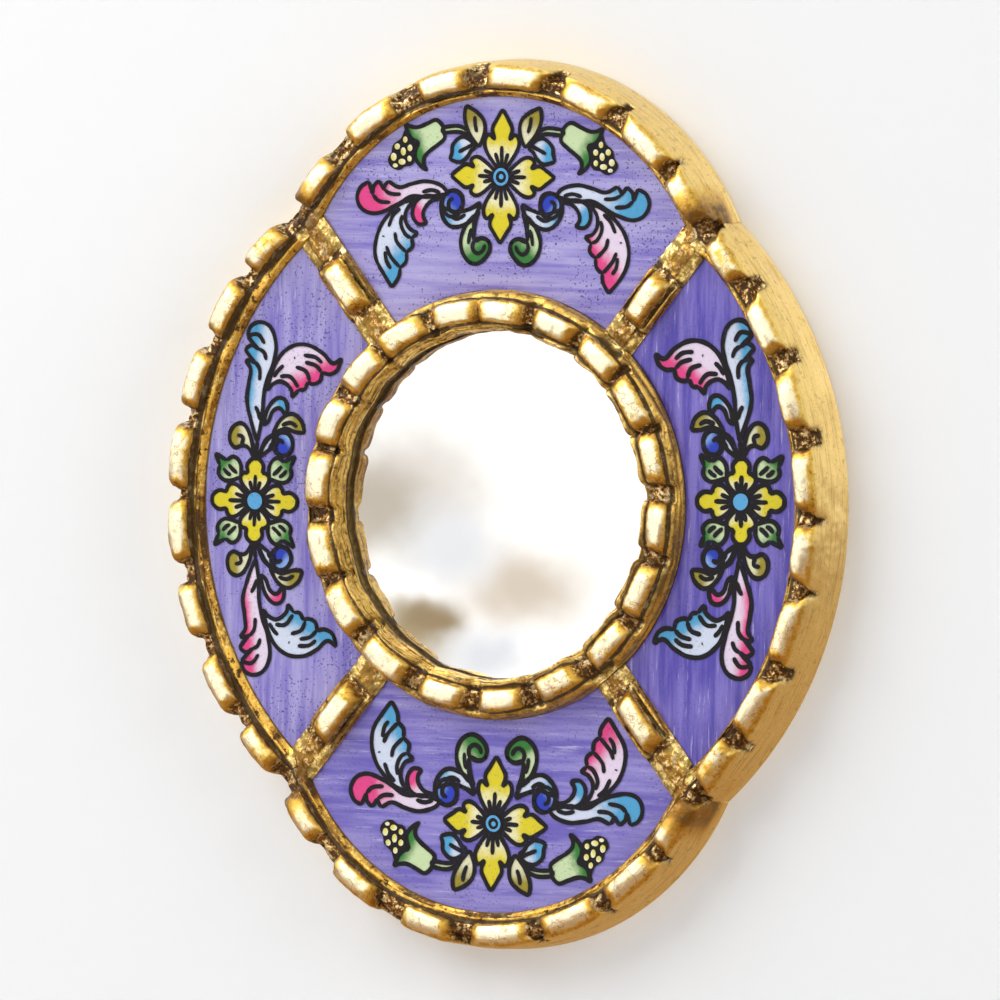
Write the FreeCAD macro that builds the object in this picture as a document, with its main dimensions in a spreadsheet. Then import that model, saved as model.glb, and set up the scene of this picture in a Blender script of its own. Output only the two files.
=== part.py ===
import FreeCAD, Part
import math
import os
import Sketcher

# Wall mirror with a carved, lobed frame, painted panes and a ring hanger.
# The wall is the plane y = 0, the face looks along -Y, and the origin is the middle of the back.

# Driving dimensions, in millimetres and degrees
SIZES = [
    ("frame_height", 300.0, "top to bottom of the outline"),
    ("frame_width", 253.0, "left to right of the outline"),
    ("top_lobe_radius", 92.0, "outline of the top and bottom lobes"),
    ("side_lobe_radius", 130.5, "outline of the left and right lobes"),
    ("rim_depth", 22.5, "wall to the crest of the rim"),
    ("rim_back_width", 4.5, "edge of the rim that wraps the board"),
    ("rim_wall_lean", 0.4, "how far the outer wall leans in"),
    ("rim_wall_bow", 200.0, "radius of the bowed outer wall"),
    ("rim_block_width", 10.4, "block across the rim"),
    ("rim_block_height", 5.5, "outer face of a rim block"),
    ("ring_radius", 65.6, "middle of the ring's crest"),
    ("ring_depth", 25.0, "wall to the crest of the ring"),
    ("ring_block_width", 9.6, "block across the ring"),
    ("mirror_sight_radius", 58.8, "mirror that shows"),
    ("block_round", 1.6, "rounded edge of a block"),
    ("groove_width", 0.8, "groove beside the blocks"),
    ("groove_bed", 1.8, "wood left between groove and glass"),
    ("lip_width", 1.2, "bead along the glass"),
    ("lip_height", 2.9, "bead above the glass"),
    ("notch_width", 7.5, "cut between two blocks, at the crest"),
    ("cusp_notch_width", 11.5, "wider cut at the end of a rim"),
    ("rim_notch_depth", 7.2, "depth of the cuts on the rim"),
    ("ring_notch_depth", 8.2, "depth of the cuts on the ring"),
    ("notch_slope", 16.0, "lean of their sides"),
    ("top_block_count", 7.0, "blocks on the top or bottom lobe"),
    ("top_block_drift", 4.0, "lean of those blocks to the right, in degrees"),
    ("side_block_count", 8.0, "blocks on the left or right lobe"),
    ("ring_block_count", 19.0, "blocks on the ring"),
    ("ring_block_start", 4.6, "first ring block from the top, in degrees"),
    ("ring_block_drift", 5.5, "wider spacing towards the bottom, in degrees"),
    ("spoke_depth", 22.0, "wall to the crest of a spoke's block"),
    ("spoke_web_depth", 17.5, "wall to the low ends of a spoke"),
    ("spoke_web_round", 1.2, "rounded edge of the low ends"),
    ("spoke_block_width", 9.0, "block across a spoke"),
    ("spoke_block_length", 21.0, "block along a spoke"),
    ("spoke_block_slope", 6.0, "lean of its sides"),
    ("spoke_crest_round", 1.2, "rounded crest of a spoke's block"),
    ("board_thickness", 11.0, "base board"),
    ("glass_thickness", 3.0, "panes and mirror"),
    ("glass_rebate", 3.0, "moulding over the edge of the glass"),
    ("fit_clearance", 0.3, "room round the glass and the board"),
    ("hanger_height", 95.0, "eye of the hanger above the middle"),
    ("strap_width", 12.0, "hanger strap"),
    ("strap_length", 25.0, "strap below its eye"),
    ("strap_thickness", 0.8, "sheet of the strap"),
    ("wire_diameter", 2.0, "wire of the hanger ring"),
    ("wire_clearance", 0.3, "room for the wire in the eye"),
    ("loop_spare", 0.2, "room beside the strap before the wire bends"),
    ("loop_height", 15.0, "hanger ring below its bar"),
    ("loop_corner", 3.0, "bend at the ends of the bar"),
    ("screw_diameter", 2.5, "shank of a hanger screw"),
    ("screw_length", 4.5, "shank in the board"),
    ("screw_head_diameter", 5.0, "head of a hanger screw"),
    ("screw_head_height", 1.2, "crown of the head"),
    ("screw_drop", 8.0, "first screw below the eye"),
    ("screw_spacing", 12.0, "first screw to second screw"),
    ("screw_clearance", 0.1, "room round a shank"),
    ("recess_margin", 1.0, "room over the eye in its recess"),
    ("recess_side", 4.0, "room round the hanger in its recess"),
    ("recess_corner", 5.0, "rounded corners of the recess"),
]

# Values worked out from the driving dimensions
LAYOUT = [
    ("top_centre", "Sizes.frame_height / 2 - Sizes.top_lobe_radius"),
    ("side_centre", "Sizes.frame_width / 2 - Sizes.side_lobe_radius"),
    ("rim_width", "Sizes.rim_wall_lean + Sizes.rim_block_width + Sizes.groove_width + Sizes.lip_width"),
    ("glass_front", "Sizes.board_thickness + Sizes.glass_thickness"),
    ("groove_floor", "glass_front + Sizes.groove_bed"),
    ("lip_shoulder", "glass_front + Sizes.lip_height - Sizes.lip_width / 3"),
    ("lip_bend", "Sizes.lip_width * 0.6"),
    ("ring_inner", "Sizes.ring_radius - Sizes.ring_block_width / 2"),
    ("ring_outer", "Sizes.ring_radius + Sizes.ring_block_width / 2"),
    ("ring_lip", "ring_outer + Sizes.groove_width + Sizes.lip_width"),
    ("spoke_half", "Sizes.spoke_block_width / 2 + Sizes.groove_width + Sizes.lip_width"),
    ("spoke_foot", "spoke_half - Sizes.glass_rebate"),
    ("pane_edge", "spoke_foot + Sizes.fit_clearance"),
    ("pane_inner", "ring_lip - Sizes.glass_rebate + Sizes.fit_clearance"),
    ("board_inset", "Sizes.rim_back_width + Sizes.fit_clearance"),
    ("eye_inner", "Sizes.wire_diameter / 2 + Sizes.wire_clearance"),
    ("eye_outer", "eye_inner + Sizes.strap_thickness"),
    ("recess_depth", "2 * eye_outer + Sizes.recess_margin"),
    ("eye_depth", "recess_depth - eye_outer"),
    ("loop_half", "Sizes.strap_width / 2 + Sizes.loop_spare + Sizes.loop_corner"),
]

# Cusps, where the outlines of a top lobe and a side lobe cross, at three distances inside the outline
CUSPS = [("outline", "0"), ("lip", "rim_width"), ("board", "board_inset")]

# Which way each lobe looks: its name, its kind, and the turn about -Y that brings +X to it
LOBES = [("top", "top", 90), ("bottom", "top", 270), ("left", "side", 180), ("right", "side", 0)]

# Spokes, with their rough turn: the cusps set the true one
SPOKES = [("top", "right", 45), ("top", "left", 135), ("bottom", "left", 225), ("bottom", "right", 315)]

MITRE_SPARE = 3     # degrees of moulding past the mitre before it is cut
MITRE_REACH = 4     # length of the mitre cut, in rim widths
BOW_EASE = 1.0001   # the hanger ring's bow is a hair wider than a half circle

doc = FreeCAD.newDocument("painted_glass_mirror")
sheet = doc.addObject("Spreadsheet::Sheet", "Sizes")
layout = doc.addObject("Spreadsheet::Sheet", "Layout")


def fill_sheets():
    for row, (alias, value, meaning) in enumerate(SIZES, 1):
        sheet.set(f"A{row}", meaning)
        sheet.set(f"B{row}", str(value))
        sheet.setAlias(f"B{row}", alias)
    doc.recompute()
    rows = list(LAYOUT)
    rows.append(("centre_gap", "top_centre ^ 2 + side_centre ^ 2"))
    for name, inset in CUSPS:
        rows.append((f"{name}_top", f"Sizes.top_lobe_radius - ({inset})"))
        rows.append((f"{name}_side", f"Sizes.side_lobe_radius - ({inset})"))
        rows.append((f"{name}_foot", f"({name}_top ^ 2 - {name}_side ^ 2 + centre_gap) / (2 * centre_gap)"))
        rows.append((f"{name}_rise", f"sqrt({name}_top ^ 2 / centre_gap - {name}_foot ^ 2)"))
        rows.append((f"{name}_cusp_x", f"side_centre * {name}_foot + top_centre * {name}_rise"))
        rows.append((f"{name}_cusp_z", f"top_centre * (1 - {name}_foot) + side_centre * {name}_rise"))
    rows.append(("spoke_turn", "atan(lip_cusp_x / lip_cusp_z)"))
    rows.append(("spoke_reach", "sqrt(lip_cusp_x ^ 2 + lip_cusp_z ^ 2)"))
    rows.append(("spoke_middle", "(ring_lip + spoke_reach) / 2"))
    rows.append(("top_span", "acos((lip_cusp_z - top_centre) / lip_top)"))
    rows.append(("side_span", "acos((lip_cusp_x - side_centre) / lip_side)"))
    for row, (alias, formula) in enumerate(rows, 1):
        layout.set(f"A{row}", "=" + formula)
        layout.setAlias(f"A{row}", alias)
        doc.recompute()


def size(expression):
    return float(sheet.evalExpression(expression))


def count(alias):
    return int(round(size(f"Sizes.{alias}")))


def bind(thing, **expressions):
    for path, expression in expressions.items():
        thing.setExpression(path.replace("__", "."), expression)


def body(label):
    made = doc.addObject("PartDesign::Body", label)
    made.Label = label
    return made


def sketch_on(owner, role, name, lift=None):
    sketch = owner.newObject("Sketcher::SketchObject", name)
    plane = next(item for item in owner.Origin.OriginFeatures if item.Role == role)
    sketch.AttachmentSupport = [(plane, "")]
    sketch.MapMode = "FlatFace"
    if lift:
        bind(sketch, AttachmentOffset__Base__z=lift)
    return sketch


def constrain(sketch, expression, kind, *where):
    index = sketch.addConstraint(Sketcher.Constraint(kind, *where, size(expression)))
    sketch.setExpression(f"Constraints[{index}]", expression)


def draw(sketch, corners):
    # A closed outline, counter-clockwise. A corner is (x, y), with the radius of the arc that leaves it
    # where the run to the next corner is round: an arc bulges outwards, or inwards if marked hollow.
    points = [FreeCAD.Vector(size(corner[0]), size(corner[1]), 0) for corner in corners]
    runs = []
    for corner, start, end in zip(corners, points, points[1:] + points[:1]):
        if len(corner) == 2:
            runs.append((sketch.addGeometry(Part.LineSegment(start, end)), 1, 2))
            continue
        hollow = len(corner) == 4
        first, last = (end, start) if hollow else (start, end)
        chord = last - first
        radius = size(corner[2])
        rise = math.sqrt(radius ** 2 - (chord.Length / 2) ** 2)
        side = FreeCAD.Vector(-chord.y, chord.x, 0).normalize()
        centre = (first + last) / 2 + side * rise
        angles = [math.atan2(point.y - centre.y, point.x - centre.x) for point in (first, last)]
        circle = Part.Circle(centre, FreeCAD.Vector(0, 0, 1), radius)
        arc = sketch.addGeometry(Part.ArcOfCircle(circle, *angles))
        runs.append((arc, 2, 1) if hollow else (arc, 1, 2))
    for corner, run, before in zip(corners, runs, runs[-1:] + runs[:-1]):
        sketch.addConstraint(Sketcher.Constraint("Coincident", before[0], before[2], run[0], run[1]))
        constrain(sketch, corner[0], "DistanceX", -1, 1, run[0], run[1])
        constrain(sketch, corner[1], "DistanceY", -1, 1, run[0], run[1])
        if len(corner) > 2:
            constrain(sketch, corner[2], "Radius", run[0])


def draw_circle(sketch, x, y, radius):
    centre = FreeCAD.Vector(size(x), size(y), 0)
    circle = sketch.addGeometry(Part.Circle(centre, FreeCAD.Vector(0, 0, 1), size(radius)))
    constrain(sketch, x, "DistanceX", -1, 1, circle, 3)
    constrain(sketch, y, "DistanceY", -1, 1, circle, 3)
    constrain(sketch, radius, "Radius", circle)


def pad(owner, sketch, name, length, **options):
    made = owner.newObject("PartDesign::Pad", name)
    made.Profile = sketch
    for option, value in options.items():
        setattr(made, option, value)
    bind(made, Length=length)
    doc.recompute()
    return made


def pocket(owner, sketch, name, depth=None, **options):
    before = owner.Shape.Volume
    made = owner.newObject("PartDesign::Pocket", name)
    made.Profile = sketch
    for option, value in options.items():
        setattr(made, option, value)
    if depth:
        bind(made, Length=depth)
    else:
        made.Type = "ThroughAll"
    doc.recompute()
    if owner.Shape.Volume >= before:
        raise ValueError(f"{name} cuts nothing")
    return made


def revolve(owner, sketch, name, angle):
    made = owner.newObject("PartDesign::Revolution", name)
    made.Profile = sketch
    made.ReferenceAxis = (sketch, ["V_Axis"])
    made.Midplane = True
    bind(made, Angle=angle)
    doc.recompute()
    return made


def turn_about_y(thing, degrees):
    # Turns a piece about -Y, so that a positive turn is anticlockwise as seen from the front
    sign = -1 if degrees <= 180 else 1
    angle = degrees if degrees <= 180 else 360 - degrees
    thing.Placement = FreeCAD.Placement(FreeCAD.Vector(), FreeCAD.Rotation(FreeCAD.Vector(0, sign, 0), angle))


def notch(sketch, angle, inner, outer, width="Sizes.notch_width"):
    # One straight-sided cut across a round moulding, pointing at its centre
    half = f"{width} / 2"
    corners = []
    for reach, side in ((inner, "-"), (outer, "-"), (outer, "+"), (inner, "+")):
        back = "+" if side == "-" else "-"
        corners.append((f"({reach}) * cos({angle}) {back} {half} * sin({angle})",
                        f"({reach}) * sin({angle}) {side} {half} * cos({angle})"))
    draw(sketch, corners)


def rim(side, kind, turn):
    label = f"rim_{side}"
    made = body(label)
    edge = f"Sizes.{kind}_lobe_radius"
    lip = f"{edge} - Layout.rim_width"
    shoulder = f"{edge} - Sizes.rim_wall_lean"
    inner = f"{shoulder} - Sizes.rim_block_width"
    profile = sketch_on(made, "XY_Plane", f"{label}_profile")
    draw(profile, [
        (edge, "0"),
        (f"{edge} - Sizes.rim_back_width", "0"),
        (f"{edge} - Sizes.rim_back_width", "-Sizes.board_thickness"),
        (f"{lip} + Sizes.glass_rebate", "-Sizes.board_thickness"),
        (f"{lip} + Sizes.glass_rebate", "-Layout.glass_front"),
        (lip, "-Layout.glass_front"),
        (lip, "-Layout.lip_shoulder", "Layout.lip_bend"),
        (f"{lip} + Sizes.lip_width", "-Layout.lip_shoulder"),
        (f"{lip} + Sizes.lip_width", "-Layout.groove_floor"),
        (inner, "-Layout.groove_floor"),
        (inner, "-(Sizes.rim_depth - Sizes.block_round)", "Sizes.block_round"),
        (f"{inner} + Sizes.block_round", "-Sizes.rim_depth"),
        (f"{shoulder} - Sizes.block_round", "-Sizes.rim_depth", "Sizes.block_round"),
        (shoulder, "-(Sizes.rim_depth - Sizes.block_round)"),
        (shoulder, "-(Sizes.rim_depth - Sizes.rim_block_height)", "Sizes.rim_wall_bow"),
    ])
    revolve(made, profile, f"{label}_sweep", f"2 * (Layout.{kind}_span + {MITRE_SPARE} deg)")

    # Mitres at the two cusps
    axes = ("z", "x") if kind == "top" else ("x", "z")
    near = [f"(Layout.lip_cusp_{axes[0]} - Layout.{kind}_centre)", f"Layout.lip_cusp_{axes[1]}"]
    far = [f"(Layout.outline_cusp_{axes[0]} - Layout.{kind}_centre)", f"Layout.outline_cusp_{axes[1]}"]
    along = [f"{MITRE_REACH} * ({far[i]} - {near[i]})" for i in (0, 1)]
    start = [f"{near[i]} - {along[i]}" for i in (0, 1)]
    finish = [f"{far[i]} + {along[i]}" for i in (0, 1)]
    mitre = sketch_on(made, "XZ_Plane", f"{label}_mitre")
    for sign in ("", "-"):
        draw(mitre, [
            (start[0], f"{sign}({start[1]})"),
            (finish[0], f"{sign}({finish[1]})"),
            (f"{finish[0]} - {along[1]}", f"{sign}({finish[1]} + {along[0]})"),
            (f"{start[0]} - {along[1]}", f"{sign}({start[1]} + {along[0]})"),
        ])
    pocket(made, mitre, f"{label}_ends", Reversed=True)

    # Cuts between the blocks, from cusp to cusp; they end at the lip
    blocks = count(f"{kind}_block_count")
    lean = {"top": -1, "bottom": 1}.get(side, 0)
    cuts = sketch_on(made, "XZ_Plane", f"{label}_cuts", "Sizes.rim_depth")
    for index in range(blocks + 1):
        place = 2 * index / blocks - 1
        drift = lean * (1 - place ** 2)
        angle = f"{place} * Layout.{kind}_span + {drift} deg * Sizes.top_block_drift"
        width = "Sizes.cusp_notch_width" if abs(place) == 1 else "Sizes.notch_width"
        notch(cuts, f"({angle})", f"{lip} - Sizes.lip_width", f"{edge} + Sizes.notch_width", width)
    carve = pocket(made, cuts, f"{label}_blocks", "Sizes.rim_notch_depth")
    bind(carve, TaperAngle="-Sizes.notch_slope")

    turn_about_y(made, turn)
    towards = math.radians(turn)
    bind(made, Placement__Base__x=f"{round(math.cos(towards))} * Layout.{kind}_centre",
         Placement__Base__z=f"{round(math.sin(towards))} * Layout.{kind}_centre")
    return made


def inner_ring():
    made = body("inner_ring")
    sight = "Sizes.mirror_sight_radius"
    shoulder = "-(Sizes.ring_depth - Sizes.block_round)"
    bead = "Layout.ring_outer + Sizes.groove_width"
    profile = sketch_on(made, "XY_Plane", "ring_profile")
    draw(profile, [
        ("Layout.ring_lip - Sizes.glass_rebate", "-Sizes.board_thickness"),
        (f"{sight} + Sizes.glass_rebate", "-Sizes.board_thickness"),
        (f"{sight} + Sizes.glass_rebate", "-Layout.glass_front"),
        (sight, "-Layout.glass_front"),
        ("Layout.ring_inner", shoulder, "Sizes.block_round"),
        ("Layout.ring_inner + Sizes.block_round", "-Sizes.ring_depth"),
        ("Layout.ring_outer - Sizes.block_round", "-Sizes.ring_depth", "Sizes.block_round"),
        ("Layout.ring_outer", shoulder),
        ("Layout.ring_outer", "-Layout.groove_floor"),
        (bead, "-Layout.groove_floor"),
        (bead, "-Layout.lip_shoulder", "Layout.lip_bend"),
        ("Layout.ring_lip", "-Layout.lip_shoulder"),
        ("Layout.ring_lip", "-Layout.glass_front"),
        ("Layout.ring_lip - Sizes.glass_rebate", "-Layout.glass_front"),
    ])
    revolve(made, profile, "ring_sweep", "360")
    blocks = count("ring_block_count")
    cuts = sketch_on(made, "XZ_Plane", "ring_cuts", "Sizes.ring_depth")
    for index in range(blocks):
        even = f"((Sizes.ring_block_start + {index + 0.5} * 360 / {blocks}) * 1 deg)"
        angle = f"(90 deg - {even} + Sizes.ring_block_drift * sin({even}) * 1 deg)"
        notch(cuts, angle, f"{sight} - Sizes.notch_width", "Layout.ring_lip + Sizes.notch_width")
    carve = pocket(made, cuts, "ring_blocks", "Sizes.ring_notch_depth")
    bind(carve, TaperAngle="-Sizes.notch_slope")
    return made


def disc(name, radius, height, x, y, z):
    # A round tool with its axis along -Y
    made = doc.addObject("Part::Cylinder", name)
    made.Placement = FreeCAD.Placement(FreeCAD.Vector(), FreeCAD.Rotation(FreeCAD.Vector(1, 0, 0), 90))
    bind(made, Radius=radius, Height=height, Placement__Base__x=x, Placement__Base__y=y, Placement__Base__z=z)
    return made


def spoke(height, side, turn):
    # A short bar from the ring to a cusp, scribed to the round mouldings that it meets
    label = f"spoke_{height}_{side}"
    bar = body(f"{label}_bar")
    half = "Sizes.spoke_block_width / 2"
    brow = "-(Sizes.spoke_web_depth - Sizes.spoke_web_round)"
    one_side = [
        ("-Sizes.board_thickness", "Layout.spoke_foot"),
        ("-Layout.glass_front", "Layout.spoke_foot"),
        ("-Layout.glass_front", "Layout.spoke_half"),
        ("-Layout.lip_shoulder", "Layout.spoke_half", "Layout.lip_bend"),
        ("-Layout.lip_shoulder", "Layout.spoke_half - Sizes.lip_width"),
        ("-Layout.groove_floor", "Layout.spoke_half - Sizes.lip_width"),
        ("-Layout.groove_floor", half),
        (brow, half, "Sizes.spoke_web_round"),
        ("-Sizes.spoke_web_depth", f"{half} - Sizes.spoke_web_round"),
    ]
    other_side = []
    for index in range(len(one_side) - 1, -1, -1):
        x, y = one_side[index][:2]
        bend = one_side[index - 1][2:] if index else ()
        other_side.append((x, f"-({y})") + bend)
    section = sketch_on(bar, "YZ_Plane", f"{label}_section")
    draw(section, one_side + other_side)
    pad(bar, section, f"{label}_web", "Layout.spoke_reach + Layout.rim_width")

    # The raised block in the middle, with leaning sides and a rounded crest
    plan = sketch_on(bar, "XZ_Plane", f"{label}_plan", "Sizes.spoke_web_depth")
    low, high = [f"Layout.spoke_middle {sign} Sizes.spoke_block_length / 2" for sign in ("-", "+")]
    draw(plan, [(low, f"-{half}"), (high, f"-{half}"), (high, half), (low, half)])
    block = pad(bar, plan, f"{label}_block", "Sizes.spoke_depth - Sizes.spoke_web_depth")
    bind(block, TaperAngle="-Sizes.spoke_block_slope")
    doc.recompute()
    crest = min(range(len(block.Shape.Faces)), key=lambda place: block.Shape.Faces[place].CenterOfMass.y)
    soften = bar.newObject("PartDesign::Fillet", f"{label}_crest")
    soften.Base = (block, [f"Face{crest + 1}"])
    bind(soften, Radius="Sizes.spoke_crest_round")
    doc.recompute()
    turn_about_y(bar, turn)
    bind(bar, Placement__Rotation__Angle=f"90 deg {'-' if side == 'right' else '+'} Layout.spoke_turn")

    scribed = doc.addObject("Part::Cut", f"{label}_scribed")
    scribed.Base = bar
    scribed.Tool = doc.getObject("ring_reach")
    inside = doc.addObject("Part::MultiFuse", f"{label}_inside")
    inside.Shapes = [doc.getObject(f"{lobe}_reach") for lobe in (height, side)]
    made = doc.addObject("Part::Common", label)
    made.Label = label
    made.Base = scribed
    made.Tool = inside
    return made


def pane(side, kind, turn):
    # Glass between two spokes, under the beads of the rim, the ring and the spokes
    label = f"pane_{side}"
    made = body(label)
    lean = "Layout.spoke_turn" if kind == "top" else "(90 deg - Layout.spoke_turn)"
    middle = f"Layout.{kind}_centre"
    edge = "Layout.pane_edge"
    outer = f"(Layout.lip_{kind} + Sizes.glass_rebate - Sizes.fit_clearance)"
    runs = [f"sqrt(Layout.pane_inner ^ 2 - {edge} ^ 2)",
            f"({middle} * cos({lean}) + sqrt({outer} ^ 2 - ({middle} * sin({lean}) - {edge}) ^ 2))"]
    near, far = [(f"{edge} * sin({lean}) + {run} * cos({lean})",
                  f"({run} * sin({lean}) - {edge} * cos({lean}))") for run in runs]
    outline = sketch_on(made, "XZ_Plane", f"{label}_outline", "Sizes.board_thickness")
    draw(outline, [
        (near[0], f"-{near[1]}"),
        (far[0], f"-{far[1]}", outer),
        far,
        near + ("Layout.pane_inner", "hollow"),
    ])
    pad(made, outline, f"{label}_glass", "Sizes.glass_thickness")
    turn_about_y(made, turn)
    return made


def mirror_plate():
    made = body("mirror_plate")
    outline = sketch_on(made, "XZ_Plane", "mirror_outline", "Sizes.board_thickness")
    draw_circle(outline, "0", "0", "Sizes.mirror_sight_radius + Sizes.glass_rebate - Sizes.fit_clearance")
    pad(made, outline, "mirror_glass", "Sizes.glass_thickness")
    return made


def screw_heights():
    first = "Sizes.hanger_height - Sizes.screw_drop"
    return [first, f"{first} - Sizes.screw_spacing"]


def base_board():
    made = body("base_board")
    outline = sketch_on(made, "XZ_Plane", "board_outline")
    x, z = "Layout.board_cusp_x", "Layout.board_cusp_z"
    draw(outline, [
        (x, f"-{z}", "Layout.board_side"),
        (x, z, "Layout.board_top"),
        (f"-{x}", z, "Layout.board_side"),
        (f"-{x}", f"-{z}", "Layout.board_top"),
    ])
    pad(made, outline, "board_panel", "Sizes.board_thickness")

    # Recess that lets the hanger lie flush with the back
    half = "(Layout.loop_half + Sizes.wire_diameter / 2 + Sizes.recess_side)"
    top = "Sizes.hanger_height + Sizes.loop_height + Sizes.recess_side"
    bottom = "Sizes.hanger_height - Sizes.strap_length - Sizes.recess_side"
    bend = "Sizes.recess_corner"
    recess = sketch_on(made, "XZ_Plane", "hanger_recess")
    draw(recess, [
        (f"-{half} + {bend}", bottom),
        (f"{half} - {bend}", bottom, bend),
        (half, f"{bottom} + {bend}"),
        (half, f"{top} - {bend}", bend),
        (f"{half} - {bend}", top),
        (f"-{half} + {bend}", top, bend),
        (f"-{half}", f"{top} - {bend}"),
        (f"-{half}", f"{bottom} + {bend}", bend),
    ])
    pocket(made, recess, "recess_cut", "Layout.recess_depth", Reversed=True)
    pilots = sketch_on(made, "XZ_Plane", "pilot_holes")
    for height in screw_heights():
        draw_circle(pilots, "0", height, "Sizes.screw_diameter / 2 + Sizes.screw_clearance")
    depth = "Layout.recess_depth + Sizes.screw_length - Sizes.strap_thickness + Sizes.screw_clearance"
    pocket(made, pilots, "pilot_cut", depth, Reversed=True)
    return made


def hanger_strap():
    # A strip folded round the wire: its eye stands on the floor of the recess, its tongue lies on it
    made = body("hanger_strap")
    side = sketch_on(made, "YZ_Plane", "strap_side")
    floor = "-Layout.recess_depth"
    face = "(Sizes.strap_thickness - Layout.recess_depth)"
    eye = "Layout.eye_outer"
    dip = f"sqrt({eye} ^ 2 - ({eye} - Sizes.strap_thickness) ^ 2)"
    tail = "Sizes.hanger_height - Sizes.strap_length"
    draw(side, [
        (floor, tail),
        (face, tail),
        (face, f"Sizes.hanger_height - {dip}", eye),
        (f"{eye} - Layout.eye_depth", "Sizes.hanger_height", eye),
        ("-Layout.eye_depth", f"Sizes.hanger_height + {eye}", eye),
        (floor, "Sizes.hanger_height"),
    ])
    draw_circle(side, "-Layout.eye_depth", "Sizes.hanger_height", "Layout.eye_inner")
    pad(made, side, "strap_fold", "Sizes.strap_width", Midplane=True)
    holes = sketch_on(made, "XZ_Plane", "strap_holes")
    for height in screw_heights():
        draw_circle(holes, "0", height, "Sizes.screw_diameter / 2 + Sizes.screw_clearance")
    pocket(made, holes, "strap_hole_cut", Reversed=True)
    return made


def hanger_ring():
    # A wire bent to a round bow on a straight bar, and the bar lies in the eye of the strap
    made = body("hanger_ring")
    half = "Layout.loop_half"
    bend = "Sizes.loop_corner"
    shoulder = f"Sizes.hanger_height - Sizes.loop_height + {half}"
    path = sketch_on(made, "XZ_Plane", "loop_path", "Layout.eye_depth")
    draw(path, [
        (f"{half} - {bend}", "Sizes.hanger_height"),
        (f"-{half} + {bend}", "Sizes.hanger_height", bend),
        (f"-{half}", f"Sizes.hanger_height - {bend}"),
        (f"-{half}", shoulder, f"{half} * {BOW_EASE}"),
        (half, shoulder),
        (half, f"Sizes.hanger_height - {bend}", bend),
    ])
    section = sketch_on(made, "YZ_Plane", "wire_section")
    draw_circle(section, "-Layout.eye_depth", "Sizes.hanger_height", "Sizes.wire_diameter / 2")
    pipe = made.newObject("PartDesign::AdditivePipe", "loop_wire")
    pipe.Profile = section
    pipe.Spine = path
    doc.recompute()
    return made


def hanger_screws():
    made = doc.addObject("Part::Compound", "hanger_screws")
    made.Label = "hanger_screws"
    screws = []
    face = "Sizes.strap_thickness - Layout.recess_depth"
    for index, height in enumerate(screw_heights(), 1):
        shank = disc(f"screw_shank_{index}", "Sizes.screw_diameter / 2", "Sizes.screw_length", "0", face, height)
        head = doc.addObject("Part::Cone", f"screw_head_{index}")
        head.Placement = FreeCAD.Placement(FreeCAD.Vector(),
                                           FreeCAD.Rotation(FreeCAD.Vector(1, 0, 0), -90))
        bind(head, Radius1="Sizes.screw_head_diameter / 2", Radius2="Sizes.screw_diameter / 2",
             Height="Sizes.screw_head_height", Placement__Base__y=face, Placement__Base__z=height)
        screw = doc.addObject("Part::Fuse", f"screw_{index}")
        screw.Base = shank
        screw.Tool = head
        screws.append(screw)
    made.Links = screws
    return made


def lobe_tools():
    # What lies inside the beads of the lobes, and inside the bead of the ring
    for side, kind, turn in LOBES:
        towards = math.radians(turn)
        disc(f"{side}_reach", f"Layout.lip_{kind}", "Sizes.rim_depth",
             f"{round(math.cos(towards))} * Layout.{kind}_centre", "0",
             f"{round(math.sin(towards))} * Layout.{kind}_centre")
    disc("ring_reach", "Layout.ring_lip", "Sizes.ring_depth", "0", "0", "0")
    doc.recompute()


fill_sheets()
lobe_tools()
pieces = [base_board(), inner_ring(), mirror_plate()]
for lobe_side, lobe_kind, lobe_turn in LOBES:
    pieces.append(rim(lobe_side, lobe_kind, lobe_turn))
    pieces.append(pane(lobe_side, lobe_kind, lobe_turn))
for spoke_height, spoke_side, spoke_turn in SPOKES:
    pieces.append(spoke(spoke_height, spoke_side, spoke_turn))
pieces += [hanger_strap(), hanger_ring(), hanger_screws()]
doc.recompute()

for item in doc.Objects:
    if "Invalid" in item.State or "Error" in item.State:
        raise ValueError(f"{item.Label} failed: {item.State}")
for piece in pieces:
    if piece.Shape.isNull() or not piece.Shape.isValid():
        raise ValueError(f"{piece.Label} has no sound shape")

os.makedirs("parts", exist_ok=True)
for piece in pieces:
    piece.Shape.exportStep(f"parts/{piece.Label}.step")
    print(piece.Label, len(piece.Shape.Solids), round(piece.Shape.Volume, 1))
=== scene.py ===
import math
import random

import bmesh
import bpy
from mathutils import Matrix, Vector, noise
from mathutils.geometry import interpolate_bezier


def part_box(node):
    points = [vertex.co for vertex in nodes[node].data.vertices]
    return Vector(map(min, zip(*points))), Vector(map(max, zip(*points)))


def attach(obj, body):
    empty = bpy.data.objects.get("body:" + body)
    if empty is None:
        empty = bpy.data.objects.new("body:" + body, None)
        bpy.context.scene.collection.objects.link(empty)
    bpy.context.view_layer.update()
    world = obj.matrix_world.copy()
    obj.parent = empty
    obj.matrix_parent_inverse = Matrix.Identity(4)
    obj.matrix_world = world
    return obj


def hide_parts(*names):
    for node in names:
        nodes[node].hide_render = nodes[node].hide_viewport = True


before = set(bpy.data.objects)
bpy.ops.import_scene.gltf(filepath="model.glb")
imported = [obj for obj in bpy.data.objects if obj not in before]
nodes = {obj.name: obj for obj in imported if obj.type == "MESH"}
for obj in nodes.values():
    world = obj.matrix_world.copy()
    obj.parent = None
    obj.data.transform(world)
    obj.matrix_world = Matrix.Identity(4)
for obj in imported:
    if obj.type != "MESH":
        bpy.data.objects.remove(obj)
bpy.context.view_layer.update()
mm = 0.001
print("frame loaded:", len(nodes), "nodes")


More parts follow.
